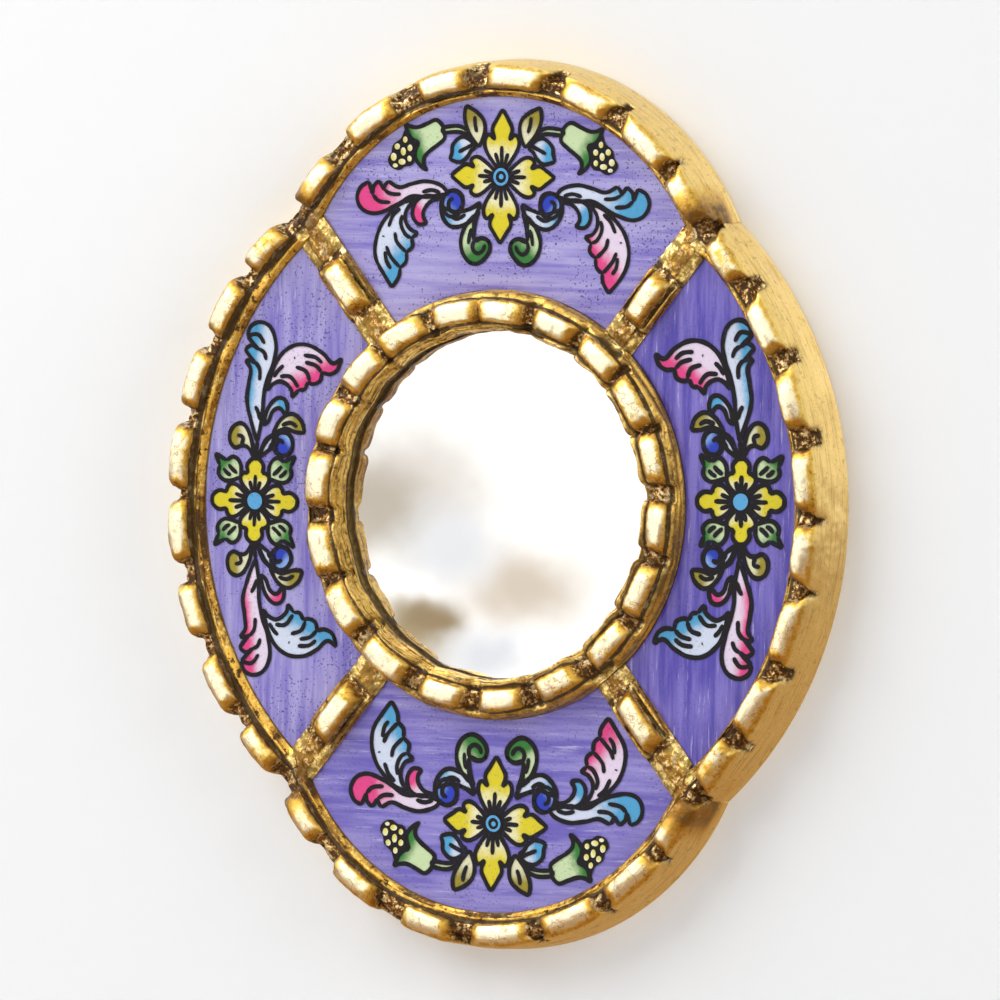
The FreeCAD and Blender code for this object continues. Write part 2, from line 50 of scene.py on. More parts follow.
# small helpers

def linear(red, green, blue):  # screen colour, 0 to 255, as the shader wants it
    shares = [value / 255 for value in (red, green, blue)]
    return tuple(s / 12.92 if s <= 0.04045 else ((s + 0.055) / 1.055) ** 2.4 for s in shares) + (1.0,)


def ramp(low, high, value):  # smooth step from 0 to 1
    share = min(1.0, max(0.0, (value - low) / (high - low)))
    return share * share * (3 - 2 * share)


def directionAt(points, index, closed):
    count = len(points)
    if closed:
        return (points[(index + 1) % count] - points[index - 1]).normalized()
    return (points[min(index + 1, count - 1)] - points[max(index - 1, 0)]).normalized()


def flowLine(points, spacing, closed=False):  # smooth line through a few points, evenly divided
    count = len(points)
    line = []
    for index in range(count if closed else count - 1):
        here, there = points[index], points[(index + 1) % count]
        span = (there - here).length
        reach = span / 3
        steps = max(2, math.ceil(span / spacing) + 1)
        leave = here + directionAt(points, index, closed) * reach
        arrive = there - directionAt(points, (index + 1) % count, closed) * reach
        line += interpolate_bezier(here, leave, arrive, there, steps)[:-1]
    if not closed:
        line.append(points[-1])
    return line


def runsOf(outline, closed=True):  # an outline split at its sharp points, which carry a third value
    points = [Vector((point[0], point[1], 0)) for point in outline]
    sharp = [index for index, point in enumerate(outline) if len(point) > 2]
    if not sharp:
        return [points], closed
    if closed:
        first = sharp[0]
        points = points[first:] + points[:first + 1]
        sharp = [index - first for index in sharp] + [len(points) - 1]
    else:
        sharp = sorted({0, len(points) - 1, *sharp})
    return [points[a:b + 1] for a, b in zip(sharp, sharp[1:])], False


def bothSides(half, flip):  # a symmetric line from its first half, which ends on the axis
    return half + [(point[0] * flip[0], point[1] * flip[1], *point[2:]) for point in half[-2::-1]]


def addObject(name, data):
    made = bpy.data.objects.new(name, data)
    bpy.context.scene.collection.objects.link(made)
    return made


def meshObject(bm, name, materials):
    mesh = bpy.data.meshes.new(name)
    bm.to_mesh(mesh)
    bm.free()
    for material in materials:
        mesh.materials.append(material)
    return addObject(name, mesh)


def pieceFrom(bm, name, materials, smooth=True):
    piece = meshObject(bm, name, materials)
    for face in piece.data.polygons:
        face.use_smooth = smooth
    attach(piece, "frame")
    return piece


def dress(node, material):  # a solid keeps its shape and gets a finish
    nodes[node].data.materials.clear()
    nodes[node].data.materials.append(material)


# shader helpers

def addNode(tree, kind, values=None, **settings):
    made = tree.nodes.new(kind)
    for key, value in settings.items():
        setattr(made, key, value)
    for key, value in (values or {}).items():
        if isinstance(value, bpy.types.NodeSocket):
            tree.links.new(value, made.inputs[key])
        else:
            made.inputs[key].default_value = value
    return made


def objectPlace(tree):
    return addNode(tree, "ShaderNodeTexCoord").outputs["Object"]


def mixColour(tree, factor, first, second):
    return addNode(tree, "ShaderNodeMix", {0: factor, 6: first, 7: second}, data_type="RGBA").outputs[2]


def maths(tree, operation, first, second=0.0, third=0.0):
    return addNode(tree, "ShaderNodeMath", {0: first, 1: second, 2: third}, operation=operation).outputs[0]


def times(tree, first, second):
    return maths(tree, "MULTIPLY", first, second)


def timesPlus(tree, first, second, third):
    return maths(tree, "MULTIPLY_ADD", first, second, third)


def most(tree, largest, *others):
    for other in others:
        largest = maths(tree, "MAXIMUM", largest, other)
    return largest


def fromHalf(tree, value):  # a noise about 0
    return maths(tree, "SUBTRACT", value, 0.5)


def vectorMaths(tree, operation, first, second=(0, 0, 0), third=(0, 0, 0)):
    values = {0: first, 1: second, 2: third}
    return addNode(tree, "ShaderNodeVectorMath", values, operation=operation).outputs


def between(tree, value, low, high, toLow=0.0, toHigh=1.0):
    values = {"Value": value, "From Min": low, "From Max": high, "To Min": toLow, "To Max": toHigh}
    return addNode(tree, "ShaderNodeMapRange", values, interpolation_type="SMOOTHSTEP").outputs[0]


def cloud(tree, vector, scale, detail=4.0, rough=0.5):
    values = {"Vector": vector, "Scale": scale, "Detail": detail, "Roughness": rough}
    return addNode(tree, "ShaderNodeTexNoise", values).outputs[0]


def stretched(tree, vector, scale):
    return addNode(tree, "ShaderNodeMapping", {"Vector": vector, "Scale": scale}).outputs[0]


def newMaterial(name, **sockets):
    material = bpy.data.materials.new(name)
    material.use_nodes = True
    shader = material.node_tree.nodes["Principled BSDF"]
    for key, value in sockets.items():
        shader.inputs[key.replace("_", " ")].default_value = value
    return material, material.node_tree, shader


def feed(tree, shader, **sockets):
    for key, value in sockets.items():
        tree.links.new(value, shader.inputs[key.replace("_", " ")])


def bumpOf(tree, height, strength, depth):
    values = {"Strength": strength, "Distance": depth, "Height": height}
    return addNode(tree, "ShaderNodeBump", values).outputs[0]


def newGroup(name, inputs, outputs):
    group = bpy.data.node_groups.new(name, "ShaderNodeTree")
    for key, kind in inputs.items():
        group.interface.new_socket(key, in_out="INPUT", socket_type=kind)
    for key, kind in outputs.items():
        group.interface.new_socket(key, in_out="OUTPUT", socket_type=kind)
    return group, group.nodes.new("NodeGroupInput").outputs, group.nodes.new("NodeGroupOutput")


def useGroup(tree, group, values):
    return addNode(tree, "ShaderNodeGroup", values, node_tree=group).outputs


# gilding: leaf over a toned ground, dark wax left in the cuts, with a painted highlight on the crowns and
# painted shade towards their sides

gilding = {
    # the cream paints the highlight on the crowns
    "highlightCream": linear(252, 239, 202),
    "paleLeaf": linear(247, 214, 122),
    "warmLeaf": linear(229, 180, 74),
    "amber": linear(152, 102, 36),
    "tan": linear(248, 214, 138),
    # bright leaf flakes in the notches, partly painted glints
    "glintFlake": linear(251, 228, 172),
    "wax": linear(52, 31, 14),
    "crumbSize": 360.0, "cloudSize": 95.0, "foldSize": 190.0, "gritSize": 900.0, "speckSize": 1700.0,
    "grainSize": 1.15,
    # where each effect starts and is full on its noise, and its levels there
    # the leaf turns warmer towards a block's ends and sides, partly as painted shade where the crown turns
    # away from the light
    "shadedEdge": (0.30, 0.75), "crownHighlight": (0.50, 0.10),
    "amberEnds": (0.74, 1.10, 0.0, 0.8), "darkEnds": (1.06, 1.4, 0.0, 0.8),
    "wallLines": (0.50, 0.64), "wrinkles": (0.024, 0.0, 0.0, 0.6), "wrinkled": (0.42, 0.58),
    "bandAmber": (0.45, 0.58), "bandGlintFlakes": (0.56, 0.68),
    "bandLines": (0.54, 0.61, 0.0, 0.9), "bandSpots": (0.42, 0.32),
    "glintFlakes": (0.54, 0.64), "patches": (0.56, 0.43), "pits": (0.62, 0.70), "thinWax": (0.58, 0.70),
    "satin": (0.3, 0.7, 0.28, 0.42),   # roughness of the leaf
    "bump": 0.4, "bumpDepth": 0.0006,
}
wearAndLightMasks = ("notch", "wall", "band", "crown", "edge", "cavity")   # marked on the mouldings in carving; crown and edge also place the painted highlight and shade


def makeLeafWearAndLight():
    colour, value, vector = "NodeSocketColor", "NodeSocketFloat", "NodeSocketVector"
    inputs = {mask.title(): value for mask in wearAndLightMasks}
    inputs.update(Grain=vector, Wax=value)
    group, given, out = newGroup(
        "leafWearAndLight", inputs, {"Color": colour, "Roughness": value, "Metallic": value, "Height": value})

    def come(noiseValue, effect):  # how far an effect has come up
        return between(group, noiseValue, *gilding[effect])

    def lay(share, under, leafColour):  # a colour over what is there
        return mixColour(group, share, under, gilding[leafColour])

    place = objectPlace(group)
    broad = cloud(group, place, gilding["cloudSize"], 4, 0.6)
    crumbs = cloud(group, place, gilding["crumbSize"], 3, 0.55)
    specks = cloud(group, place, gilding["speckSize"], 2)
    folds = cloud(group, place, gilding["foldSize"], 3, 0.5)
    grit = fromHalf(group, cloud(group, place, gilding["gritSize"], 3, 0.6))
    broken = timesPlus(group, grit, 0.8, crumbs)
    streaks = cloud(group, given["Grain"], gilding["grainSize"], 6, 0.62)
    # leaf: cream on the crowns as a painted highlight, warmer towards their edges as painted shade, amber
    # and ragged at their ends
    ragged = given["Edge"]
    for rag, share in ((fromHalf(group, crumbs), 1.3), (fromHalf(group, broad), 1.1), (grit, 0.5)):
        ragged = timesPlus(group, rag, share, ragged)
    leaf = lay(come(ragged, "shadedEdge"), gilding["paleLeaf"], "warmLeaf")
    leaf = lay(times(group, given["Crown"], come(ragged, "crownHighlight")), leaf, "highlightCream")
    leaf = lay(come(ragged, "amberEnds"), leaf, "amber")
    # walls are tan and finely streaked, bands run from gold to amber along the grain
    leaf = lay(times(group, given["Wall"], 0.7), leaf, "tan")
    drawn = times(group, come(streaks, "wallLines"), given["Wall"])
    leaf = lay(times(group, drawn, 0.32), leaf, "amber")
    banded = lay(come(streaks, "bandAmber"), gilding["warmLeaf"], "amber")
    # pale flakes on the bands, partly painted glints
    banded = lay(come(broken, "bandGlintFlakes"), banded, "paleLeaf")
    leaf = mixColour(group, times(group, given["Band"], 0.95), leaf, banded)
    leaf = lay(between(group, given["Notch"], 0.1, 0.9, 0.0, 0.8), leaf, "amber")
    wrinkle = come(maths(group, "ABSOLUTE", fromHalf(group, folds)), "wrinkles")
    wrinkle = times(group, wrinkle, between(group, given["Wall"], 0.0, 1.0, 1.0, 0.25))
    wrinkle = times(group, wrinkle, come(broad, "wrinkled"))
    leaf = lay(wrinkle, leaf, "amber")
    # wax: in creases and grooves, in patches of the notches with bright flakes between (partly leaf, partly
    # painted glints), thinly elsewhere
    glintFlake = times(group, between(group, given["Notch"], 0.1, 0.55), come(broken, "glintFlakes"))
    leaf = lay(times(group, glintFlake, 0.9), leaf, "glintFlake")
    crease = between(group, timesPlus(group, crumbs, -0.14, given["Cavity"]), -0.02, 0.17)
    patch = times(group, between(group, given["Notch"], 0.0, 0.65), come(broken, "patches"))
    lines = most(group, come(streaks, "bandLines"), come(broken, "bandSpots"))
    lines = times(group, given["Band"], lines)
    lines = most(group, lines, between(group, times(group, drawn, given["Notch"]), 0.05, 0.35))
    thin = most(group, times(group, come(specks, "pits"), 0.5), times(group, come(crumbs, "thinWax"), 0.4))
    thin = times(group, thin, given["Wax"])
    dark = times(group, most(group, crease, patch, lines, come(ragged, "darkEnds"), thin), 0.92)
    satin = timesPlus(group, given["Wall"], 0.10, come(broad, "satin"))
    satin = timesPlus(group, given["Band"], 0.10, satin)
    metal = timesPlus(group, given["Wall"], -0.15, 0.92)
    rough = most(group, given["Notch"], given["Band"])
    lumps = times(group, broken, between(group, rough, 0.0, 0.7, 0.22, 1.0))
    lumps = timesPlus(group, wrinkle, -0.25, lumps)
    feed(group, out, Color=lay(dark, leaf, "wax"),
         Roughness=timesPlus(group, dark, 0.18, satin),
         Metallic=times(group, metal, between(group, dark, 0.0, 1.0, 1.0, 0.3)),
         Height=maths(group, "ADD", lumps, times(group, streaks, 0.5)))
    return group


def makeGilding(name, wax):
    material, tree, shader = newMaterial(name, Coat_Weight=0.12, Coat_Roughness=0.2, Specular_IOR_Level=0.2)
    values = {"Wax": wax}
    for mask in wearAndLightMasks:
        values[mask.title()] = addNode(tree, "ShaderNodeAttribute", attribute_name=mask).outputs["Fac"]
    values["Grain"] = addNode(tree, "ShaderNodeAttribute", attribute_name="grain").outputs["Vector"]
    wearAndLight = useGroup(tree, leafWearAndLight, values)
    feed(tree, shader, Base_Color=wearAndLight["Color"], Roughness=wearAndLight["Roughness"], Metallic=wearAndLight["Metallic"],
         Normal=bumpOf(tree, wearAndLight["Height"], gilding["bump"], gilding["bumpDepth"]))
    return material


leafWearAndLight = makeLeafWearAndLight()
rimGilding = makeGilding("rimGilding", 0.7)
ringGilding = makeGilding("ringGilding", 0.9)
spokeGilding = makeGilding("spokeGilding", 0.9)
print("gilding mixed")


# carved mouldings: a section swept round, then cut into pillow blocks by moving its vertices

carving = {
    "spacing": 0.7,           # mm between points of the mesh
    "endRound": 4.1,          # mm over which a block's end rolls down
    "droop": 1.5,             # mm that its crown falls towards the ends
    "bulge": 0.09,            # share of its width that a block loses there
    "cutDepth": 0.94,         # share of the block's height that a notch takes
    "cutNarrow": 0.28,        # share of its width
    "lengthPlay": 0.08,
    "heightPlay": 0.8,
    "slantPlay": 0.2,
    "leanPlay": 0.11,         # how far a block's crown leans in or out
    "anglePlay": 0.7,
    "wobble": 0.36, "wobbleScale": 0.11,   # mm, and how fast it changes: long waves of the hand tool
    "tremor": 0.16, "tremorScale": 0.45,
    "crumble": 0.70, "crumbleScales": (0.42, 0.95),
    "ridge": 0.80, "ridgeScale": 0.9,      # ridges left along walls and bands
    "sink": 0.16,             # mm that the whole is set back, to stay inside the solid
    "endCurve": 2.2,          # how full a block's end is rounded
    "leanHalf": 4.7,          # mm, half the width over which a crown leans
    "fixedBelow": 14.2,       # mm, under this height the moulding stays as it was swept
    "freeAbove": 15.6,        # mm, over this one the hand work is full
    "grainRun": 0.06,         # how slowly the grain changes along a moulding
    "flankWear": 0.6, "joinWear": 0.38,   # share of a notch's wax on flanks and where spokes run in
    "cuspRoom": 3.2,          # mm that the last blocks stop short of a cusp
    "cuspDip": 3.4,           # mm that the outer edge falls there
    "joinWidth": 5.6,         # mm to each side of a spoke where band and groove are filled
    "joinLevel": 16.3,
}

rim = {
    "topCentre": 58.0, "topOutline": 92.0, "topBlocks": 7, "topSpan": 66.9, "topDrift": 4.0,
    "sideCentre": -4.0, "sideOutline": 130.5, "sideBlocks": 8, "sideSpan": 49.1,
    "sparePast": 5.0,         # degrees swept past the mitres
    "crest": 4.9,             # inset of the blocks' middle line
    "halfWidth": 4.2, "top": 22.5, "lipInset": 12.8, "bandInset": 9.3,
    "cutFloor": 16.2, "cutLow": -4.6, "cutHigh": 5.0,
    "cutFall": 3.8, "cutFallLeft": 7.4,   # mm that notches fall towards the outside
    "taper": 1.9, "taperLeft": 0.5,       # mm that they narrow there
    "blockLength": {"top": 22.2, "bottom": 22.2, "left": 20.4, "right": 21.4},
    "lean": {"top": 1.2, "bottom": 0.6, "left": -0.4, "right": 1.6},   # mm that the blocks lean inwards
    # inset and height, from the back edge up the wall and over to the glass
    "shown": [(0.05, 0.0, 1), (0.0, 0.8), (0.1, 5.0), (0.2, 10.0), (0.35, 14.5), (0.5, 17.0), (0.9, 19.2),
              (1.8, 21.0), (3.3, 22.1), (5.0, 22.5), (6.7, 22.3), (8.0, 21.7), (8.75, 20.7), (9.05, 19.0),
              (9.25, 17.2), (9.45, 16.0), (9.8, 16.2), (10.7, 16.4), (11.6, 15.9), (12.3, 15.2),
              (12.7, 14.6), (12.8, 14.0, 1)],
    "hidden": [(9.8, 14.0), (9.8, 11.0), (4.5, 11.0), (4.5, 0.0)],
}

ring = {
    "blocks": 19, "turn": 4.6, "drift": 5.5, "blockLength": 18.4, "cutFloor": 18.8, "cutFall": 1.5,
    "cutLow": -4.7, "cutHigh": 4.6, "crest": 65.6, "halfWidth": 4.4, "top": 25.0,
    "blocksFrom": 61.0, "blocksTo": 70.0,   # mm, radius of the grooves to both sides of the blocks
    "wave": 0.9,              # mm, how far the edge at the mirror wanders
    "leanOut": 1.4,           # mm, of the blocks to the left
    "bandCut": 3.3,           # mm that a notch takes off the wall beside it
    # radius and height, from the mirror's edge outwards over the blocks to the panes
    "shown": [(58.8, 14.0, 1), (58.9, 16.0), (59.15, 18.5), (59.5, 20.8), (60.0, 22.2), (60.5, 22.7),
              (61.0, 22.5), (61.4, 22.9), (61.9, 23.7), (62.8, 24.5), (64.2, 24.9), (65.6, 25.0),
              (67.2, 24.8), (68.5, 24.2), (69.3, 23.2), (69.7, 21.8), (69.95, 20.4), (70.4, 20.0),
              (70.9, 19.6), (71.5, 18.4), (72.0, 16.8), (72.35, 15.3), (72.4, 14.0, 1)],
    "hidden": [(69.4, 14.0), (69.4, 11.0), (61.8, 11.0), (61.8, 14.0)],
}

spoke = {
    "blockLength": 22.0, "leftMiddle": 93.0, "rightMiddle": 91.2, "cutFloor": 15.8,
    "cutLow": -4.7, "cutHigh": 4.7,
    "halfWidth": 4.3, "top": 22.0, "overlap": 2.8,
    # across and height, given from one side to the middle
    "shown": bothSides([(-6.5, 14.0, 1), (-6.4, 15.6), (-6.0, 16.9), (-5.5, 17.3), (-5.05, 16.7),
                        (-4.75, 16.3), (-4.5, 17.0), (-4.25, 19.0), (-3.6, 20.7), (-2.3, 21.7),
                        (0.0, 22.0)], (-1, 1)),
    "hidden": [(3.0, 14.0), (3.0, 11.0), (-3.0, 11.0), (-3.0, 14.0)],
}


def cutBlocks(centres, length, chance):
    blocks = []
    for centre in centres:
        half = length / 2 * (1 + chance.uniform(-1, 1) * carving["lengthPlay"])
        rise = chance.uniform(-1, 0) * carving["heightPlay"]
        slant = chance.uniform(-1, 1) * carving["slantPlay"]
        lean = chance.uniform(-1, 1) * carving["leanPlay"]
        blocks.append({"middle": centre, "half": half, "rise": rise, "slant": slant, "lean": lean})
    return blocks


def blockAt(blocks, gaps, across):  # how much of a block stands, how its crown lies, how near its end is
    best, lift, out = 0.0, 0.0, 1.0
    power = carving["endCurve"]
    for block, gap in zip(blocks, gaps):
        gone = abs(gap + block["slant"] * across)
        over = max(0.0, (gone - (block["half"] - carving["endRound"])) / carving["endRound"])
        stands = (1 - over ** power) ** (1 / power) if over < 1 else 0.0
        if stands > best:
            best, out = stands, gone / block["half"]
            lift = block["rise"] + block["lean"] * across - abs(block["lean"]) * carving["leanHalf"]
            lift -= carving["droop"] * out ** 2
    return best, lift, out


def carvePoint(across, height, found, plan, fall):  # across is measured from the blocks' middle line
    stands, lift, out = found
    low, high, top = plan["cutLow"], plan["cutHigh"], plan["top"]
    floor = plan["cutFloor"] - fall * ramp(0.0, high, across)
    within = ramp(low - 0.4, low, across) * (1 - ramp(high, high + 0.4, across))
    within *= ramp(floor - 1.6, floor + 1.8, height)
    cut = (1 - stands) * within
    # crown: the top of a block, which gets the painted highlight
    crown = stands * ramp(top - 3.4, top - 0.8, height)
    endwise, sidewise = ramp(0.42, 1.0, out), ramp(0.4, 1.0, abs(across) / plan["halfWidth"])
    # edge: near a block's ends and sides, for the patina at its ends and the painted shade at its sides
    edge = max(endwise, 0.8 * sidewise) * within * ramp(top - 5.0, top - 2.0, height)
    level = floor + (height - floor) * (1 - carving["cutDepth"] * cut) if height > floor else height
    level += lift * stands * within * ramp(top - 5.5, top - 1.5, level)
    across *= 1 - carving["cutNarrow"] * cut - carving["bulge"] * stands * within * out ** 3
    return across, level, {"notch": cut, "crown": crown, "edge": edge}


def hump(value, middle, reach):
    return 1 - ramp(0.0, reach, abs(value - middle))


def fillJoin(x, z, height):  # band and groove are filled where a spoke runs in: new height, and how much
    axis = cuspAt(rim["lipInset"]).normalized()
    beside = abs(abs(x) * axis.y - abs(z) * axis.x)
    onward = abs(x) * axis.x + abs(z) * axis.y
    width = carving["joinWidth"]
    filled = (1 - ramp(width - 1.4, width + 0.6, beside)) * ramp(40, 60, onward)
    return height + (min(height + 2.0, carving["joinLevel"]) - height) * filled, filled


def roughen(bm, layers):  # hand work: long waves, a tremor, ridges along walls and crumbs in notches
    bm.normal_update()
    moves = []
    for vert in bm.verts:
        where = vert.co / mm
        size = carving["wobble"] * noise.noise(where * carving["wobbleScale"])
        size += carving["tremor"] * noise.noise(where * carving["tremorScale"])
        size -= carving["sink"]
        coarse, fine = carving["crumbleScales"]
        rough = noise.noise(where * coarse) + 0.5 * noise.noise(where * fine)
        size += carving["crumble"] * max(vert[layers["notch"]], vert[layers["rubble"]]) * rough
        along = noise.noise(vert[layers["grain"]] * carving["ridgeScale"])
        size += carving["ridge"] * vert[layers["ridge"]] * along
        moves.append(vert.normal * (size * vert[layers["free"]] * mm))
    for vert, move in zip(bm.verts, moves):
        vert.co += move


def findCreases(bm, layers):  # how hollow the surface is at each vertex, evened out twice
    bm.normal_update()
    hollow = {}
    for vert in bm.verts:
        others = [edge.other_vert(vert) for edge in vert.link_edges]
        leans = [(other.co - vert.co).normalized().dot(vert.normal) for other in others]
        hollow[vert] = sum(leans) / len(leans)
    for _ in range(2):
        evened = {}
        for vert, depth in hollow.items():
            around = [hollow[edge.other_vert(vert)] for edge in vert.link_edges]
            evened[vert] = 0.5 * depth + 0.5 * sum(around) / len(around)
        hollow = evened
    for vert, depth in hollow.items():
        vert[layers["cavity"]] = max(0.0, depth, 0.35 * vert[layers["groove"]])


def startCarving(plan, place):  # a mesh with the section as a closed loop of edges
    bm = bmesh.new()
    marks = (*wearAndLightMasks, "groove", "ridge", "rubble", "free")
    layers = {name: bm.verts.layers.float.new(name) for name in marks}
    layers["grain"] = bm.verts.layers.float_vector.new("grain")
    runs, _ = runsOf(plan["shown"], closed=False)
    line = flowLine(runs[0], carving["spacing"])
    line += [Vector((across, height, 0)) for across, height in plan["hidden"]]
    verts = [bm.verts.new(place(point.x, point.y)) for point in line]
    edges = [bm.edges.new((a, b)) for a, b in zip(verts, verts[1:] + verts[:1])]
    return bm, layers, verts + edges


def aroundAxis(angle, radius, height):  # radius and height in mm
    return Vector((radius * mm * math.sin(angle), -height * mm, radius * mm * math.cos(angle)))


def workOver(bm, layers):  # traces of the hand, and the creases that hold wax
    bmesh.ops.recalc_face_normals(bm, faces=bm.faces)
    roughen(bm, layers)
    findCreases(bm, layers)


def standFor(bm, name, material, node):  # a carving in place of its solid
    piece = pieceFrom(bm, name, [material])
    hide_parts(node)


def mark(vert, layers, values):
    for name, value in values.items():
        vert[layers[name]] = value


def cuspAt(inset):  # where the top and right lobes cross, that far in from the outline
    first, second = rim["topOutline"] - inset, rim["sideOutline"] - inset
    one, two = Vector((0, rim["topCentre"])), Vector((rim["sideCentre"], 0))
    gap = (two - one).length
    along = (first ** 2 - second ** 2 + gap ** 2) / (2 * gap)
    aside = math.sqrt(first ** 2 - along ** 2)
    axis = (two - one) / gap
    return one + axis * along + Vector((-axis.y, axis.x)) * aside


def trimMitre(bm, mirrorX, mirrorZ, keep):
    outer, inner = cuspAt(0.0), cuspAt(rim["lipInset"])
    corner = Vector((outer.x * mirrorX, 0, outer.y * mirrorZ)) * mm
    back = Vector((inner.x * mirrorX, 0, inner.y * mirrorZ)) * mm
    normal = (corner - back).cross(Vector((0, 1, 0))).normalized()
    if normal.dot(keep - corner) > 0:
        normal = -normal
    whole = bm.verts[:] + bm.edges[:] + bm.faces[:]
    cut = bmesh.ops.bisect_plane(
        bm, geom=whole, dist=1e-7, plane_co=corner, plane_no=normal, clear_outer=True)
    edges = [item for item in cut["geom_cut"] if isinstance(item, bmesh.types.BMEdge)]
    bmesh.ops.edgeloop_fill(bm, edges=edges)


def freeAt(height):
    return ramp(carving["fixedBelow"], carving["freeAbove"], height)


def rimMarks(inset, height, share):  # wall, flank, bands and grooves of a rim, share of the way to the cusp
    wall = (1 - ramp(0.9, 1.8, inset)) * (1 - ramp(17.2, 19.6, height))
    band = ramp(9.5, 9.8, inset) * ramp(14.2, 14.8, height)
    flank = ramp(8.6, 8.9, inset) * (1 - ramp(20.0, 21.0, height)) * (1 - band)
    foot = ramp(12.2, 12.5, inset) * (1 - ramp(14.5, 15.1, height))
    seam = 0.35 * hump(height, 18.9, 0.5) * (1 - ramp(1.2, 1.6, inset))
    groove = max(hump(inset, 9.45, 0.5), 0.6 * flank, 0.7 * foot, seam)
    stain = ramp(0.78, 0.92, share) * ramp(0.5, 7, height)
    return {"wall": wall, "band": band, "groove": groove, "ridge": max(0.2 * wall, 0.8 * band, 0.5 * flank),
            "flank": flank, "stain": stain}


def makeRim(side, seed):
    upright = side in ("top", "bottom")
    outline = rim["topOutline"] if upright else rim["sideOutline"]
    facing = {"top": 0, "right": 90, "bottom": 180, "left": -90}[side]
    turn = math.radians(facing)
    offset = rim["topCentre"] if upright else rim["sideCentre"]
    centre = Vector((math.sin(turn), 0, math.cos(turn))) * offset * mm
    span = rim["topSpan"] if upright else rim["sideSpan"]
    count = rim["topBlocks"] if upright else rim["sideBlocks"]
    drift = {"top": rim["topDrift"], "bottom": -rim["topDrift"]}.get(side, 0.0)
    chance = random.Random(seed)
    shares = [(2 * i + 1) / count - 1 for i in range(count)]
    play = carving["anglePlay"]
    centres = [s * span + drift * (1 - s * s) + chance.uniform(-1, 1) * play for s in shares]
    blocks = cutBlocks(centres, rim["blockLength"][side], chance)
    crest = outline - rim["crest"]
    for block, inward in ((blocks[0], 1), (blocks[-1], -1)):
        block["half"] -= carving["cuspRoom"] / 2
        block["middle"] += inward * math.degrees(carving["cuspRoom"] / 2 / crest)
    start = turn - math.radians(span + rim["sparePast"])
    sweep = 2 * (turn - start)

    def place(inset, height):
        return centre + aroundAxis(start, outline - inset, height)

    bm, layers, section = startCarving(rim, place)
    steps = round(sweep * crest / carving["spacing"])
    bmesh.ops.spin(bm, geom=section, cent=centre, axis=(0, 1, 0), angle=sweep, steps=steps)
    for vert in bm.verts:
        arm = vert.co - centre
        height, inset = -arm.y / mm, outline - math.hypot(arm.x, arm.z) / mm
        angle = (math.degrees(math.atan2(arm.x, arm.z)) - facing + 180) % 360 - 180
        at = turn + math.radians(angle)
        moved, level = rim["crest"] - inset, height
        run = crest * carving["grainRun"]
        vert[layers["grain"]] = (math.sin(at) * run, math.cos(at) * run, height + inset)
        outer = inset < rim["hidden"][-1][0] - 0.1
        if outer or height > carving["fixedBelow"]:
            gaps = [math.radians(angle - block["middle"]) * crest for block in blocks]
            left = ramp(0.2, 0.8, -math.sin(at))
            fall = rim["cutFall"] + (rim["cutFallLeft"] - rim["cutFall"]) * left
            narrow = rim["taper"] + (rim["taperLeft"] - rim["taper"]) * left
            narrow *= ramp(1.5, rim["crest"], moved)   # notches run out to a point in the wall
            gaps = [math.copysign(max(0.0, abs(gap) - narrow), gap) for gap in gaps]
            moved, level, values = carvePoint(moved, height, blockAt(blocks, gaps, moved), rim, fall)
            share = abs(angle) / span
            values.update(rimMarks(inset, height, share))
            dip = ramp(0.93, 1.0, share) * (1 - ramp(2.0, 7.5, inset)) * ramp(10, 15, level)
            level -= carving["cuspDip"] * dip
            joined = 0.0
            if inset > rim["bandInset"]:
                level, joined = fillJoin(vert.co.x / mm, vert.co.z / mm, level)
            flank, stain = values.pop("flank"), values.pop("stain")
            stain *= 1.0 if upright else 0.35
            wearAndLight = max(carving["flankWear"] * flank, carving["joinWear"] * joined, 0.25 * stain)
            values["notch"] = max(values["notch"], wearAndLight)
            values["edge"] = max(values["edge"], 1.15 * stain)
            values["wall"] *= 1 - 0.85 * stain
            values["rubble"] = joined
            upper = ramp(8.0, 20.0, height) * (1 - ramp(9.2, 12.8, inset)) * (1 - ramp(0.8, 1.0, share))
            moved -= rim["lean"][side] * upper
            values["groove"] *= 1 - joined
            values["band"] *= 1 - joined
            values["free"] = ramp(0.2, 3.0, height) if outer else freeAt(height)
            mark(vert, layers, values)
        vert.co = centre + aroundAxis(at, crest + moved, level)
    workOver(bm, layers)
    keep = centre + Vector((math.sin(turn), 0, math.cos(turn))) * crest * mm
    for mirrorX, mirrorZ in ((1, 1), (-1, 1), (1, -1), (-1, -1)):
        near = mirrorZ * math.cos(turn) > 0.5 if upright else mirrorX * math.sin(turn) > 0.5
        if near:
            trimMitre(bm, mirrorX, mirrorZ, keep)
    bmesh.ops.recalc_face_normals(bm, faces=bm.faces)
    standFor(bm, f"carved_rim_{side}", rimGilding, f"rim_{side}")


